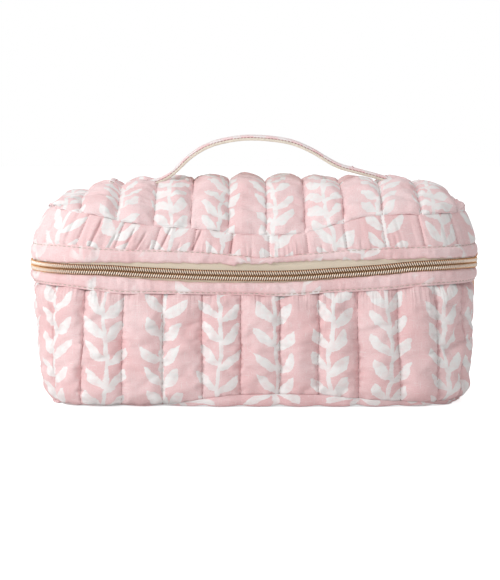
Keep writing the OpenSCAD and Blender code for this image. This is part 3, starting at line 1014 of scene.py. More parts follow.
def frontGirthAt(x):
    # distance round the bag of the front edge at x
    over = abs(x) - frontHalf
    if over <= 0:
        return x
    lean = math.asin(min(1, over / bag["frontCorner"]))
    return math.copysign(frontHalf + bag["frontCorner"] * lean, x)


def backGirthAt(x):
    over = abs(x) - backHalf
    if over <= 0:
        return math.copysign(halfGirth - abs(x), x)
    return math.copysign(backStart - bag["backCorner"] * math.asin(min(1, over / bag["backCorner"])), x)


def nearestEdge(x, y, front, back):
    # place round the bag of the nearest edge of the plan, and how far it is
    w, h = bag["halfWidth"], bag["halfDepth"]
    run = min(sideRun, max(0, y - (bag["frontCorner"] - h)))
    side = math.copysign(frontHalf + frontArc + run, x)
    return min((y - front, frontGirthAt(x)), (back - y, backGirthAt(x)), (w - abs(x), side))


def makeBottomPanel():
    w, h = bag["halfWidth"], bag["halfDepth"]

    def nearEdges(share):
        # the grid's lines crowd together at both edges
        return share - bottomPanel["edgeCrowding"] * math.sin(2 * math.pi * share) / (2 * math.pi)

    def place(u, v):
        x = (2 * nearEdges(u) - 1) * w
        front, back = panelEnds(x)
        y = front + (back - front) * nearEdges(v)
        inner, s = nearestEdge(x, y, front, back)
        foot = lowerWallPlace(s, 0.0)
        foot.z += bottomPanel["tuck"]
        share = (x / channelPitch + bottomPanel["firstLine"]) % 1.0
        valley = (1 - math.sin(math.pi * share) ** 0.6) * bottomPanel["bulge"]
        valley *= ease(0, bottomPanel["flatEdge"], inner)
        scale = Vector(((w - bottomPanel["inset"]) / w, (h - bottomPanel["inset"]) / h))
        flat = Vector((x * scale.x, y * scale.y, bottomPanel["clear"] + valley))
        spread = 1 - ease(0, bottomPanel["lip"], inner)
        lift = (1 - ease(0, bottomPanel["fall"], inner)) ** 1.3
        swell = bottomPanel["lipBulge"] * math.sin(math.pi * min(1, inner / bottomPanel["fall"]))
        outward = outlineAt(s)[1] * swell * ease(*bottomPanel["lipHeights"], foot.z)
        return Vector((flat.x + (foot.x - flat.x) * spread + outward.x,
                       flat.y + (foot.y - flat.y) * spread + outward.y,
                       flat.z + (foot.z - flat.z) * lift))

    def uvAt(u, v):
        return ((2 * u - 1) * w, v * 2 * h)

    bm = clothGrid(bottomPanel["columns"], bottomPanel["rows"], place, uvAt)
    mergeDoubles(bm)
    faceUpwards(bm, -1)
    piece = finishMesh(bm, "bottomQuilt", printOnBottom, "base",
                       ("base_bottom_panel", "base_bottom_wadding"), quilt["cloth"])
    return piece


makeBottomPanel()
print("bottom made")


# lid

lid = {
    "columns": 146,
    "rows": 70,
    "linePhase": 12,
    "lineEvery": 13,
    "bulge": 3.5 * mm,
    "rise": 16.4 * mm,
    "leanLeft": 11.5 * mm,
    "leanRight": 6.8 * mm,
    "leanDepth": 3.5 * mm,
    "crownLeft": 4.5,
    "crownRight": 8.0,
    "softEdge": 9 * mm,
    "rolledEdge": 22 * mm,
    "seamEdge": 10 * mm,
    "setBack": 0.6 * mm,
    "crumple": 1.2 * mm,
    "pucker": 0.6 * mm,
    "linePucker": 0.8 * mm,
    "seamPucker": 1.0 * mm,
    "spareCloth": 0.06,
    "printStretch": 1.12,  # the crown's cloth is longer than its plan
    "skirtRows": 20,
    "skirtColumns": 1188,
    "skirtBulge": 2.5 * mm,
    "skirtBack": 1.0 * mm,
    "skirtOverlap": 0.4 * mm,
    "skirtTuck": 0.8 * mm,
    "skirtWave": 1.3 * mm,
    "gather": 2.1 * mm,
    "strapEnds": (54 * mm, 92 * mm),
    "strapHalf": 12.5 * mm,
    "sinkLeft": 3.6 * mm,
    "sinkRight": 1.0 * mm,
    "creases": [  # place at the bottom in mm, lean, start and end of its height, half width and depth
        (-118, 2.0, 0.2, 1.0, 1.4, 0.5), (-101.5, 1.5, 0.0, 1.0, 0.9, 1.2), (-90, 4.0, 0.0, 0.6, 0.8, 0.8),
        (-80, 3.0, 0.0, 0.85, 0.8, 1.2), (-73, 5.0, 0.0, 0.7, 0.8, 1.1), (-66, 3.5, 0.0, 0.35, 0.8, 0.7),
        (-58.5, 4.5, 0.0, 1.0, 0.8, 1.4), (-48, 4.0, 0.0, 0.4, 0.8, 0.7), (-38.5, 5.0, 0.0, 1.0, 0.9, 1.3),
        (-27, 2.5, 0.0, 0.4, 0.8, 0.6), (-15, 2.0, 0.0, 1.0, 0.9, 1.1), (-2, 2.0, 0.0, 0.4, 0.8, 0.5),
        (20, -1.0, 0.0, 0.5, 0.8, 0.4), (42, 0.5, 0.0, 0.4, 0.8, 0.4), (66, 1.0, 0.0, 0.4, 0.8, 0.5),
        (72, 1.0, 0.0, 0.35, 0.7, 0.4), (88, 0.5, 0.0, 0.4, 0.7, 0.5), (94, 0.5, 0.0, 0.3, 0.7, 0.4)],
}


def leaned(x, y, t):
    # the lid's wall leans in towards the top, more at its left end
    side = lid["leanLeft"] if x < 0 else lid["leanRight"]
    return x * (1 - side / bag["halfWidth"] * t), y * (1 - lid["leanDepth"] / bag["halfDepth"] * t)


def lidRim(s, t):
    point, outward = outlineAt(s)
    x, y = leaned(point.x, point.y, t)
    return Vector((x, y, 0)), outward


lidPitch = 2 * bag["halfWidth"] / lid["columns"] * lid["lineEvery"]


def lidLineShare(x):
    step = 2 * bag["halfWidth"] / lid["columns"]
    return (((x + bag["halfWidth"]) / step - lid["linePhase"]) / lid["lineEvery"]) % 1.0


def lidTopPlace(u, v, smoothed=False):
    w = bag["halfWidth"]
    x0 = (2 * u - 1) * w
    front, back = panelEnds(x0)
    y0 = front + (back - front) * v
    x, y = leaned(x0, y0, 1.0)
    drop = (seams["lidSeam"] - lidSeamZ(frontGirthAt(x0))) * (1 - ease(0, seams["sideFade"], y0 - front))
    power = lid["crownLeft"] if x0 < 0 else lid["crownRight"]
    rise = lid["rise"] * (1 - abs(2 * u - 1) ** power) * (1 - abs(2 * v - 1) ** 2.5)
    inner = min(w - abs(x0), y0 - front, back - y0)
    near = ease(0, lid["softEdge"], inner)
    pressed = strapPress(x0, y0)
    z = seams["lidSeam"] - drop + rise
    if smoothed:
        return Vector((x, y, z))
    z -= (lid["sinkLeft"] if x0 < 0 else lid["sinkRight"]) * pressed
    share = lidLineShare(x0)
    middle = math.sin(math.pi * share)
    puff = middle ** 0.6 * lid["bulge"] * (0.3 + 0.7 * near) * (1 - 0.75 * pressed)
    across, along = x * perMetre, y * perMetre
    crumple = ripple(across, along, 0.05, 21.0) * lid["crumple"] * near * (1 - pressed)
    pucker = ripple(across, along, 0.2, 27.0) * lid["pucker"]
    pucker += ripple(across * 0.26, along, 0.3, 29.0) * lid["linePucker"] * (1 - middle ** 0.7)
    seamShare = 1 - ease(0, lid["seamEdge"], y0 - front)
    pucker += ripple(across, along * 0.3, 0.34, 33.0) * lid["seamPucker"] * seamShare
    pucker -= lineCrease(share, lidPitch) * (0.4 + 0.6 * near)
    wander = lineWander(round(share + x0 / (23 * mm)), v, 12.0) * near
    tilt = Vector((0, ease(0, lid["rolledEdge"], y0 - front) - ease(0, lid["rolledEdge"], back - y0), 0))
    direction = (Vector((0, 0, 1)) + tilt * 0.8).normalized()
    return Vector((x + wander, y, z)) + direction * (puff + crumple + pucker - lid["setBack"])


def strapPress(x, y):
    # 1 where the strap's sewn ends press the lid's cloth down
    low, high = lid["strapEnds"]
    inX = ease(low - 8 * mm, low, abs(x)) * (1 - ease(high, high + 7 * mm, abs(x)))
    return inX * (1 - ease(lid["strapHalf"], lid["strapHalf"] + 6 * mm, abs(y)))


def makeLidTop():
    w = bag["halfWidth"]

    def uvAt(u, v):
        front, back = panelEnds((2 * u - 1) * w)
        return ((2 * u - 1) * w, (front + (back - front) * v) * lid["printStretch"])

    def at(u):
        moved = closerToLines(lidLineShare((2 * u - 1) * w), lidPitch) / (2 * w)
        return u + moved * min(1, u / 0.05, (1 - u) / 0.05)

    bm = clothGrid(lid["columns"], lid["rows"], lambda u, v: lidTopPlace(at(u), v),
                   lambda u, v: uvAt(at(u), v))
    mergeDoubles(bm)
    faceUpwards(bm)
    piece = finishMesh(bm, "lidTopQuilt", printOnLid, None)

    def held(uv):
        return isOnLine(lidLineShare(uv.x)) or strapPress(uv.x, uv.y / lid["printStretch"]) > 0.8

    relax(piece, stitchPins(piece, held), lid["spareCloth"])
    addThickness(piece, quilt["cloth"])
    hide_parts("lid_top_panel", "lid_top_wadding")
    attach(piece, "lid")
    return piece


def lidLineOf(uv):
    return round(uv.x / mm) if isOnLine(lidLineShare(uv.x)) else None


def gatherAt(s, t):
    # narrow creases where the lid's wall is gathered into its seams, leaning over on the left
    d = s / mm
    total = 0.0
    for place, lean, start, end, width, depth in lid["creases"]:
        away = (d - place - 0.75 * lean * t) / (0.8 * width)
        if abs(away) < 3:
            length = ease(start - 0.1, start + 0.1, t) * ease(end + 0.1, end - 0.2, t)
            total += depth * math.exp(-abs(away) ** 1.5) * length
    fine = wallRipple(s + 2 * mm * t, 0, 0.42, 51.0) * (0.40 * (1 - t) ** 2 + 0.10)
    return -(total - fine) * lid["gather"]


def lidSkirtPlace(s, t):
    s = wrapGirth(s)
    base, outward = lidRim(s, t)
    bottom, top = upperStitchZ(s) - lid["skirtOverlap"], lidSeamZ(s)
    z = bottom + (top - bottom) * t
    edge = math.sin(math.pi * t) ** 0.55
    share = channelShare(s - quilt["skirtShift"])
    puff = (0.45 + 0.55 * math.sin(math.pi * share) ** 0.6) * lid["skirtBulge"] * edge
    wave = wallRipple(s, z, 0.06, 17.0) * lid["skirtWave"] * edge
    crease = gatherAt(s, t) * (0.25 + 0.75 * edge) - lineCrease(share, channelPitch) + wave
    tuck = lid["skirtTuck"] * (1 - ease(0, 0.15, t))
    return base + outward * (puff + crease - lid["skirtBack"] - tuck) + Vector((0, 0, z))


def makeLidSkirt():
    def uvHeight(s, t):
        return upperStitchZ(s) + (lidSeamZ(s) - upperStitchZ(s)) * t * 1.1

    piece = ringSheet("lidWallQuilt", printOnSkirt, None, (), lid["skirtRows"],
                      lidSkirtPlace, uvHeight, 0, columns=lid["skirtColumns"], shift=quilt["skirtShift"])
    addThickness(piece, quilt["cloth"])
    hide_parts("lid_wall_band", "lid_back_panel", "lid_wall_wadding", "lid_back_wadding")
    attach(piece, "lid")
    return piece


lidTopQuilt = makeLidTop()
quiltingStitches("lidTopStitches", lidTopQuilt, lidLineOf, "lid")
lidWallQuilt = makeLidSkirt()
quiltingStitches("lidWallStitches", lidWallQuilt,
                 lambda uv: ringLineOf(uv - Vector((quilt["skirtShift"], 0))), "lid")
print("lid made")


# facing strips beside the zip

facing = {
    "rows": 16,
    "bulge": 1.9 * mm,
    "standOut": -0.9 * mm,
    "sideIn": 0.5 * mm,
    "lowerSideIn": 0.5 * mm,
    "thickness": 0.9 * mm,
    "upperStitched": 0.86,
    "lowerStitched": 0.84,
    "reach": backStart + 1.5 * mm,
    "upperGap": [  # place round the bag in metres, and how far the strip stands off the coil in mm
        (-0.24, 0), (-0.13, 0.1), (-0.094, 1.3), (-0.063, 2.9), (-0.033, 3.8), (-0.003, 3.6),
        (0.01, 4.6), (0.028, 5.3), (0.058, 4.2), (0.089, 2.1), (0.115, 0.7), (0.15, 0)],
    "lowerGap": [
        (-0.10, 0), (-0.085, 0.3), (-0.063, 0.9), (-0.033, 1.2), (0.0, 0.9), (0.03, 0.6),
        (0.058, 0.1), (0.08, 0)],
    "coilHalf": 3.3 * mm,
    "meeting": 0.2 * mm,
    "seamOverlap": 1.4 * mm,
    "roll": 0.6 * mm,
    "dent": 0.8 * mm,
    "columns": 640,
    "stitchStep": 3.3 * mm,
    "stitchShare": 0.74,
    "stitchRadius": 0.27 * mm,
    "stitchLift": 0.2 * mm,
    "stitchWander": 0.35 * mm,
}


def pastZip(s):
    # the strips meet over the tape past the zip's end
    return ease(zipReach + 1 * mm, zipReach + 9 * mm, abs(wrapGirth(s)))


def upperEdgeZ(s):
    edge = zipZ(s) + facing["coilHalf"] + follow(facing["upperGap"], wrapGirth(s)) * mm
    return edge + (bag["zipHeight"] + facing["meeting"] - edge) * pastZip(s)


def lowerEdgeZ(s):
    edge = zipZ(s) - facing["coilHalf"] - follow(facing["lowerGap"], wrapGirth(s)) * mm
    return edge + (bag["zipHeight"] - facing["meeting"] - edge) * pastZip(s)


def facingOut(s, t, seed, sideIn, stitched):
    # t runs from the open edge to the sewn edge
    roll = facing["roll"] * (1 - ease(0, 0.16, t))
    bulge = facing["bulge"] * math.sin(math.pi * min(1, 0.14 + 0.86 * t)) ** 0.7
    along = s * perMetre
    wave = (ripple(along, t * 6, 0.13, seed) + ripple(along, t * 4, 0.42, seed + 9) * 0.5) * mm
    dent = facing["dent"] * math.exp(-((t - stitched) / 0.07) ** 2)
    return facing["standOut"] + bulge - roll - dent - sideIn * sideShare(s) + wave * (1 - 0.45 * t)


def upperFacingPlace(s, t):
    # its open edge is scalloped, most of all near the middle of the front
    loose = 0.6 + 0.9 * ease(70 * mm, 20 * mm, abs(s - 10 * mm))
    along = s * perMetre
    scallop = (ripple(along, 0, 0.11, 31.0) + ripple(along, 0, 0.36, 35.0) * 0.9) * loose * mm
    low, high = upperEdgeZ(s) + scallop * (1 - pastZip(s)), upperStitchZ(s) + facing["seamOverlap"]
    return around(s, facingOut(s, t, 41.0, facing["sideIn"], facing["upperStitched"]), low + (high - low) * t)


def lowerFacingPlace(s, t):
    scallop = ripple(s * perMetre, 0, 0.14, 38.0) * 0.6 * mm
    high, low = lowerEdgeZ(s) + scallop * (1 - pastZip(s)), lowerStitchZ(s) - facing["seamOverlap"]
    out = facingOut(s, t, 47.0, facing["lowerSideIn"], facing["lowerStitched"])
    return around(s, out, high + (low - high) * t)


def makeFacing(name, body, node, place, uvHeight):
    ringSheet(name, facingCloth, body, (node,), facing["rows"], place, uvHeight,
              facing["thickness"], reach=facing["reach"], columns=facing["columns"])


def sewFacing(name, body, place, stitched):
    def route(share):
        s = (2 * share - 1) * (facing["reach"] - 1 * mm)
        wander = ripple(s * perMetre, 0, 0.5, 80.0) * facing["stitchWander"]
        return place(s, stitched) + outlineAt(s)[1] * facing["stitchLift"] + Vector((0, 0, wander))

    runningStitches(name, route, int(2 * facing["reach"] / facing["stitchStep"]),
                    facing["stitchShare"], facing["stitchRadius"], greyThread, body)


makeFacing("upperFacing", "lid", "upper_binding", upperFacingPlace, lambda s, t: 0.1 + t * 9 * mm)
makeFacing("lowerFacing", "base", "lower_binding", lowerFacingPlace, lambda s, t: 0.2 - t * 9 * mm)
sewFacing("upperFacingStitches", "lid", upperFacingPlace, facing["upperStitched"])
sewFacing("lowerFacingStitches", "base", lowerFacingPlace, facing["lowerStitched"])
print("facings made")


# zip

zipParts = {
    "tapeIn": -1.1 * mm,
    "tapeThickness": 0.6 * mm,
    "tapeWidth": 14 * mm,
    "tapeGap": 0.35 * mm,
    "tapeEnd": 0.6 * mm,
    # the dark strip behind the coil is a painted shade between the turns
    "gapShadeIn": -0.9 * mm,
    "gapShadeThickness": 0.5 * mm,
    "gapShadeWidth": 3.0 * mm,
    "gapShadeClear": 0.15 * mm,
    "pitch": 1.42 * mm,
    "toothLength": 3.5 * mm,
    "toothWidth": 0.84 * mm,
    "toothDepth": 2.0 * mm,
    "toothIn": -0.2 * mm,
    "slant": 22.0,
    "rowMiddle": 1.58 * mm,
    "columns": 300,
    "short": 0.5 * mm,
}


def makeTape(name, sign, body, node, sewnZ):
    def place(s, t):
        width = sewnZ(s) - sign * zipParts["tapeEnd"] - zipZ(s)
        return around(s, zipParts["tapeIn"], zipZ(s) + sign * zipParts["tapeGap"] + width * t)

    ringSheet(name, zipTapeCloth, body, (node,), 6, place,
              lambda s, t: sign * t * zipParts["tapeWidth"], zipParts["tapeThickness"],
              reach=backStart - zipParts["short"], columns=zipParts["columns"])


def makeCoil(name, sign, body, node, shift):
    # one turn of the coil for each tooth, leaning along the chain
    bm = bmesh.new()
    half = zipReach - zipParts["short"]
    count = int(2 * half / zipParts["pitch"])
    lean = Matrix.Rotation(math.radians(-sign * zipParts["slant"]), 3, "Y")
    width, depth, length = (zipParts[part] / 2 for part in ("toothWidth", "toothDepth", "toothLength"))
    size = Matrix.Diagonal((width, depth, length, 1))
    for i in range(count):
        s = -half + (i + 0.5 + shift) * zipParts["pitch"]
        if abs(s) > half:
            continue
        middle = around(s, zipParts["toothIn"], zipZ(s) + sign * zipParts["rowMiddle"])
        outward = outlineAt(s)[1]
        ahead, behind = s + 1 * mm, s - 1 * mm
        forward = (around(ahead, 0, zipZ(ahead)) - around(behind, 0, zipZ(behind))).normalized()
        upward = forward.cross(outward).normalized()
        facingTurn = Matrix((forward, outward, upward if upward.z > 0 else -upward)).transposed()
        toothShape.press(bm, Matrix.Translation(middle) @ (facingTurn @ lean).to_4x4() @ size)
    return finishMesh(bm, name, coilMetal, body, (node,))


def makeCoilGapShade(name, sign, body):
    # the dark stitching that holds the coil to its tape, seen between the turns
    # painted shade: a dark strip behind the coil, standing for the shade seen between its turns
    def place(s, t):
        return around(s, zipParts["gapShadeIn"], zipZ(s) + sign * (zipParts["gapShadeClear"] + zipParts["gapShadeWidth"] * t))

    ringSheet(name, coilShade, body, (), 2, place, lambda s, t: t * zipParts["gapShadeWidth"],
              zipParts["gapShadeThickness"], reach=zipReach - zipParts["short"], columns=zipParts["columns"])


makeTape("upperTape", 1, "lid", "upper_zip_tape", upperStitchZ)
makeTape("lowerTape", -1, "base", "lower_zip_tape", lowerStitchZ)
makeCoil("upperCoil", 1, "lid", "upper_zip_coil", 0.0)
makeCoil("lowerCoil", -1, "base", "lower_zip_coil", 0.5)
makeCoilGapShade("upperCoilGapShade", 1, "lid")
makeCoilGapShade("lowerCoilGapShade", -1, "base")
print("zip made")


# hinge cloth

hinge = {
    "low": 73.6 * mm,
    "high": 101.4 * mm,
    "half": backHalf + 1.0 * mm,
    "columns": 120,
    "rows": 26,
    "bulge": 1.9 * mm,
    "standOut": 0.3 * mm,
    "thickness": 1.2 * mm,
    "blend": (84 * mm, 92 * mm),
}


def hingePlace(x, t):
    z = hinge["low"] + (hinge["high"] - hinge["low"]) * t
    across = x * perMetre
    wave = ripple(across, t * 20, 0.09, 61.0) * 0.6 * mm + ripple(across, t * 30, 0.3, 63.0) * 0.35 * mm
    out = hinge["standOut"] + hinge["bulge"] * math.sin(math.pi * t) ** 0.5 + wave * math.sin(math.pi * t)
    return Vector((x, bag["halfDepth"] + out, z))


def makeHinge():
    height = hinge["high"] - hinge["low"]
    bm = clothGrid(hinge["columns"], hinge["rows"], lambda u, t: hingePlace((1 - 2 * u) * hinge["half"], t),
                   lambda u, t: (u * 2 * hinge["half"], t * height))
    faceOutwards(bm, bagMiddle)
    piece = finishMesh(bm, "hingeCloth", hingeCotton, None, ("hinge_binding",))
    addThickness(piece, hinge["thickness"])
    low, high = hinge["blend"]
    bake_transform(piece)

    def stitchLine(name, t, body):
        def route(u):
            return hingePlace((2 * u - 1) * hinge["half"] * 0.985, t) + Vector((0, 0.25 * mm, 0))

        runningStitches(name, route, 70, 0.72, 0.34 * mm, greyThread, body)

    stitchLine("hingeStitchesLow", 0.09, "base")
    stitchLine("hingeStitchesHigh", 0.91, "lid")


makeHinge()
print("hinge made")


# linings

liningLook = {
    "depth": 6.3 * mm,
    "zipDepth": 2.8 * mm,  # at the zip the linings come out to its tapes
    "zipGap": 3.0 * mm,
    "turnHeight": 10 * mm,
    "thickness": 0.7 * mm,
    "columns": 264,
    "wave": 0.6 * mm,
    "lowerFlat": 84 * mm,
    "upperFlat": 30 * mm,
    "girthLess": 40 * mm,  # the linings run inside the quilted walls
    "foot": 2.5 * mm,
    "floor": 6.6 * mm,
    "floorWave": 0.5 * mm,
    "floorInset": 8.0 * mm,
    "floorLift": 3.0 * mm,
    "floorEdge": 14 * mm,
    "floorFlat": (265 * mm, 126 * mm),
    "roofDrop": 6.0 * mm,
    "roofFlat": (270 * mm, 134 * mm),
}
seamTapeLook = {
    "height": 3.2 * mm,
    "width": 5 * mm,
    "bulge": 1.3 * mm,
    "out": 0.8 * mm,
    "thickness": 0.5 * mm,
}


def makeLinings():
    depth = liningLook["depth"]

    def lower(s, t):
        top, foot = zipZ(s) - liningLook["zipGap"], bottomSeamZ(s) + liningLook["foot"]
        z = foot + (top - foot) * t
        turn = ease(top - liningLook["turnHeight"], top, z)
        wave = wallRipple(s, z, 0.05, 71.0) * liningLook["wave"]
        shell = wallOut(s, z, bottomSeamZ(s), lowerStitchZ(s)) if z < lowerStitchZ(s) else 0.0
        out = (min(0, shell) - depth) * (1 - turn) - liningLook["zipDepth"] * turn
        return around(s, out + wave * (1 - turn), z)

    def upper(s, t):
        low = zipZ(s) + liningLook["zipGap"]
        z = low + (lidSeamZ(s) - 3 * mm - low) * t
        turn = 1 - ease(low, low + liningLook["turnHeight"], z)
        wave = wallRipple(s, z, 0.05, 74.0) * liningLook["wave"]
        base, outward = lidRim(s, t)
        out = -depth * (1 - turn) - liningLook["zipDepth"] * turn + wave * (1 - turn)
        return base + outward * out + Vector((0, 0, z))

    def wallLining(name, body, node, rows, place, height):
        return ringSheet(name, liningCloth, body, (node,), rows, place,
                         lambda s, t: t * height, liningLook["thickness"], inside=True,
                         columns=liningLook["columns"])

    baseLining = wallLining("baseWallLining", "base", "base_wall_lining", 28, lower, liningLook["lowerFlat"])
    lidLining = wallLining("lidWallLining", "lid", "lid_wall_lining", 12, upper, liningLook["upperFlat"])
    w, h = bag["halfWidth"], bag["halfDepth"]

    def panel(name, body, nodes, place, up):
        bm = clothGrid(90, 44, place, lambda u, v: (u * 2 * w, v * 2 * h))
        mergeDoubles(bm)
        faceUpwards(bm, up)
        return finishMesh(bm, name, liningCloth, body, nodes, liningLook["thickness"])

    def floorPlace(u, v):
        x = (2 * u - 1) * w
        front, back = panelEnds(x)
        y = front + (back - front) * v
        inner, s = nearestEdge(x, y, front, back)
        wave = ripple(x * perMetre, y * perMetre, 0.03, 78.0) * liningLook["floorWave"]
        inset = depth + liningLook["floorInset"]
        lift = (bottomSeamZ(s) + liningLook["floorLift"]) * (1 - ease(0, liningLook["floorEdge"], inner))
        return Vector((x * (w - inset) / w, y * (h - inset) / h, max(liningLook["floor"] + wave, lift)))

    def roofPlace(u, v):
        point = lidTopPlace(u, v, smoothed=True)
        z = point.z - liningLook["roofDrop"]
        return Vector((point.x * (w - depth) / w, point.y * (h - depth) / h, z))

    floorLining = panel("baseFloorLining", "base", ("base_bottom_lining",), floorPlace, 1)
    roofLining = panel("lidTopLining", "lid", ("lid_top_lining",), roofPlace, -1)

    def seamTape(name, body, node, lining, share, startZ):
        # bias tape folded over the raw seam, on the lining at a share of its height
        def place(s, t):
            edge = lining(s, share)
            edge.z = startZ(s) + seamTapeLook["height"] * t
            bulge = seamTapeLook["bulge"] * math.sin(math.pi * t)
            return edge - outlineAt(s)[1] * (seamTapeLook["out"] + bulge)

        ringSheet(name, seamTapeCloth, body, (node,), 8, place,
                  lambda s, t: t * seamTapeLook["width"], seamTapeLook["thickness"], inside=True,
                  columns=liningLook["columns"])

    seamTape("baseSeamTape", "base", "bottom_seam_binding", lower, 0.06, lambda s: bottomSeamZ(s) + 5.0 * mm)
    seamTape("lidSeamTape", "lid", "lid_seam_binding", upper, 0.85, lambda s: lidSeamZ(s) - 9.5 * mm)


makeLinings()
print("linings made")


# strap handle

strap = {
    "half": 12.5 * mm,
    "ribbonHalf": 11.9 * mm,
    "webbing": 1.7 * mm,
    "ribbon": 1.15 * mm,
    "steps": 150,
    "fineSteps": 900,
    "softenings": 60,  # how often the bends where it meets the lid are evened out
    "freeHalf": 52 * mm,
    "clearOfLid": 1.9 * mm,
    "bow": 0.5 * mm,
    "edgeWave": 0.25 * mm,
    "blend": (144.5 * mm, 158 * mm),
    "edgeStitches": 90,
    "edgeThread": 0.24 * mm,
    "stitchLift": 0.2 * mm,
    "tackRows": (0.015, 0.13, 0.87, 0.985),
    "tacks": 6,
    "tackStep": 3.0 * mm,
    "tackHalf": 1.0 * mm,
    "tackThread": 0.3 * mm,
    "arch": [  # height above the floor along the bag, in mm
        (-92, 131.5), (-80, 134.0), (-68, 136.0), (-60, 138.2), (-55, 140.8), (-49, 145.6), (-45, 149.8),
        (-39, 154.8), (-29, 160.4), (-15.7, 164.0), (-2.6, 165.3), (13.5, 164.3), (25.7, 161.9),
        (38, 156.6), (48, 150.6), (55, 147.0), (63.6, 144.6), (76, 141.4), (88, 138.6)],
}


def lidTopAt(x, y):
    # height of the lid's cloth under a point
    lean = lid["leanLeft"] if x < 0 else lid["leanRight"]
    u = (x / (1 - lean / bag["halfWidth"]) / bag["halfWidth"] + 1) / 2
    return lidTopPlace(u, 0.5 + y / (2 * bag["halfDepth"])).z


def strapZ(x):
    under = lidTopAt(x, 0) + strap["clearOfLid"]
    over = follow(strap["arch"], x / mm) * mm
    return max(over, under) if abs(x) > strap["freeHalf"] else over


def strapRoute():
    # stations along the strap, evenly spaced along its length
    low, high = strap["arch"][0][0] * mm, strap["arch"][-1][0] * mm
    count = strap["fineSteps"]
    fine = [low + (high - low) * i / count for i in range(count + 1)]
    heights = [strapZ(x) for x in fine]
    for _ in range(strap["softenings"]):
        between = [(a + 2 * b + c) / 4 for a, b, c in zip(heights, heights[1:], heights[2:])]
        heights = [heights[0], *between, heights[-1]]
    lengths = [0.0]
    for i in range(count):
        lengths.append(lengths[-1] + math.hypot(fine[i + 1] - fine[i], heights[i + 1] - heights[i]))
    stations, k = [], 0
    for i in range(strap["steps"] + 1):
        goal = lengths[-1] * i / strap["steps"]
        while k < count - 1 and lengths[k + 1] < goal:
            k += 1
        t = (goal - lengths[k]) / (lengths[k + 1] - lengths[k])
        x = fine[k] + (fine[k + 1] - fine[k]) * t
        stations.append((x, heights[k] + (heights[k + 1] - heights[k]) * t))
    return stations, lengths[-1]


strapStations, strapLength = strapRoute()


def strapPoint(u, y, lift):
    i = min(strap["steps"] - 1, int(u * strap["steps"]))
    t = u * strap["steps"] - i
    (x0, z0), (x1, z1) = strapStations[i], strapStations[i + 1]
    direction = Vector((x1 - x0, 0, z1 - z0)).normalized()
    normal = Vector((-direction.z, 0, direction.x))
    bow = -strap["bow"] * (y / strap["half"]) ** 2
    return Vector((x0 + (x1 - x0) * t, y, z0 + (z1 - z0) * t)) + normal * (lift + bow)


def strapStrip(name, half, lift, thickness, material, nodes):
    def place(u, v):
        y = (2 * v - 1) * half
        wave = ripple(u * strapLength * perMetre, v * 3, 0.16, 90.0) * strap["edgeWave"]
        return strapPoint(u, y + wave, lift)

    bm = clothGrid(strap["steps"], 10, place, lambda u, v: (v * 2 * half, u * strapLength))
    faceUpwards(bm)
    piece = finishMesh(bm, name, material, None, nodes)
    addThickness(piece, thickness)
    soft = piece.modifiers.new("softEdges", "BEVEL")
    soft.width = thickness * 0.3
    soft.segments = 2
    soft.limit_method = "ANGLE"
    return piece


def followHandle(piece):
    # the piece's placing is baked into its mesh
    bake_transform(piece)


def makeStrap():
    webbing = strapStrip("strapWebbing", strap["half"], 0, strap["webbing"], webbingCloth,
                         ("handle_webbing", "handle_end_left", "handle_end_right"))
    followHandle(webbing)
    ribbon = strapStrip("strapRibbon", strap["ribbonHalf"], strap["ribbon"], strap["ribbon"], ribbonCloth,
                        ("handle_top_cloth",))
    followHandle(ribbon)
    lift = strap["stitchLift"]

    def edgeStitches(name, side):
        def route(u):
            return strapPoint(u, side * (strap["ribbonHalf"] + 0.15 * mm), lift)

        followHandle(runningStitches(name, route, strap["edgeStitches"], 0.75, strap["edgeThread"],
                                     ribbonEdge, None))

    edgeStitches("strapStitchesFront", -1)
    edgeStitches("strapStitchesBack", 1)
    bm = bmesh.new()
    for row in strap["tackRows"]:
        for k in range(strap["tacks"]):
            y = (k - (strap["tacks"] - 1) / 2) * strap["tackStep"]
            addStitch(bm, strapPoint(row, y - strap["tackHalf"], strap["ribbon"] + lift),
                      strapPoint(row, y + strap["tackHalf"], strap["ribbon"] + lift), strap["tackThread"])
    finishMesh(bm, "strapTacks", ribbonEdge, "lid")


makeStrap()
print("strap made")


# stage

stageLook = {"size": 6.0, "floor": (0.94, 0.94, 0.94), "glow": 0.70, "ambient": 0.505}
keyLight = {"place": (-0.70, -0.62, 0.55), "size": 0.4, "power": 5.2}
topLight = {"place": (0.1, 0.2, 1.45), "size": 0.9, "power": 3.7}
lightsAim = (0, 0, 0.08)


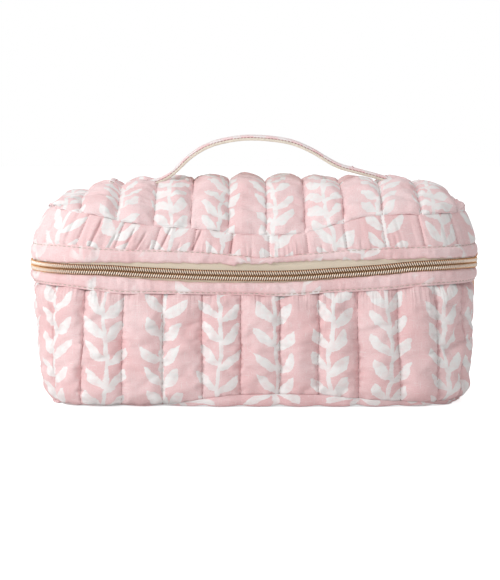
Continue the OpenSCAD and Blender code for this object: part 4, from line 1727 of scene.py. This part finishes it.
def makeStage():
    bm = bmesh.new()
    bmesh.ops.create_grid(bm, x_segments=1, y_segments=1, size=stageLook["size"] / 2)
    floor = finishMesh(bm, "floor", bpy.data.materials.new("paleFloor"), None, smooth=False)
    material = floor.data.materials[0]
    material.use_nodes = True
    shader = material.node_tree.nodes["Principled BSDF"]
    shader.inputs["Base Color"].default_value = (*stageLook["floor"], 1)
    shader.inputs["Roughness"].default_value = 0.9
    shader.inputs["Emission Color"].default_value = (1, 1, 1, 1)
    seen = material.node_tree.nodes.new("ShaderNodeLightPath").outputs["Is Camera Ray"]
    glow = Wires(material.node_tree).math("MULTIPLY", seen, stageLook["glow"])
    material.node_tree.links.new(glow, shader.inputs["Emission Strength"])
    world = bpy.data.worlds.new("softStudio")
    world.use_nodes = True
    tree = world.node_tree
    background = tree.nodes["Background"]
    background.inputs["Color"].default_value = (1, 1, 1, 1)
    seen = tree.nodes.new("ShaderNodeLightPath").outputs["Is Camera Ray"]
    strength = Wires(tree).spread(seen, 0.0, 1.0, stageLook["ambient"], 1.0)
    tree.links.new(strength, background.inputs["Strength"])
    bpy.context.scene.world = world


def addLight(name, look):
    lamp = bpy.data.lights.new(name, "AREA")
    lamp.shape = "SQUARE"
    lamp.size = look["size"]
    lamp.energy = look["power"]
    light = bpy.data.objects.new(name, lamp)
    bpy.context.scene.collection.objects.link(light)
    light.location = look["place"]
    light.rotation_euler = (Vector(lightsAim) - Vector(look["place"])).to_track_quat("-Z", "Y").to_euler()


cameraLook = {"lens": 120.0, "distance": 1.254, "elevation": 6.4, "aim": (-0.0025, 0.0, 0.0660)}


def makeCamera():
    data = bpy.data.cameras.new("camera")
    data.lens = cameraLook["lens"]
    data.sensor_width = 36.0
    data.clip_start = 0.01
    camera = bpy.data.objects.new("camera", data)
    bpy.context.scene.collection.objects.link(camera)
    tilt = math.radians(cameraLook["elevation"])
    aim = Vector(cameraLook["aim"])
    back = Vector((0, -math.cos(tilt), math.sin(tilt)))
    camera.location = aim + back * cameraLook["distance"]
    camera.rotation_euler = (-back).to_track_quat("-Z", "Y").to_euler()
    bpy.context.scene.camera = camera


makeStage()
addLight("keyLight", keyLight)
addLight("topLight", topLight)
makeCamera()
bpy.context.scene.view_settings.view_transform = "Standard"
print("stage, lights and camera made")


# carried-over parts of the zip

metalNodes = ("zip_slider", "slider_bridge", "pull_ring", "pull_tab", "lower_top_stop", "upper_top_stop",
              "zip_bottom_stop")
for nodeName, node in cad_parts.items():
    node.data.materials.clear()
    node.data.materials.append(roseGold if nodeName in metalNodes else facingCloth)
for nodeName in ("zip_end_tab_left", "zip_end_tab_right"):
    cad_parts[nodeName].data.materials[0] = threadMaterial(nodeName + "Cloth", cotton["colour"])
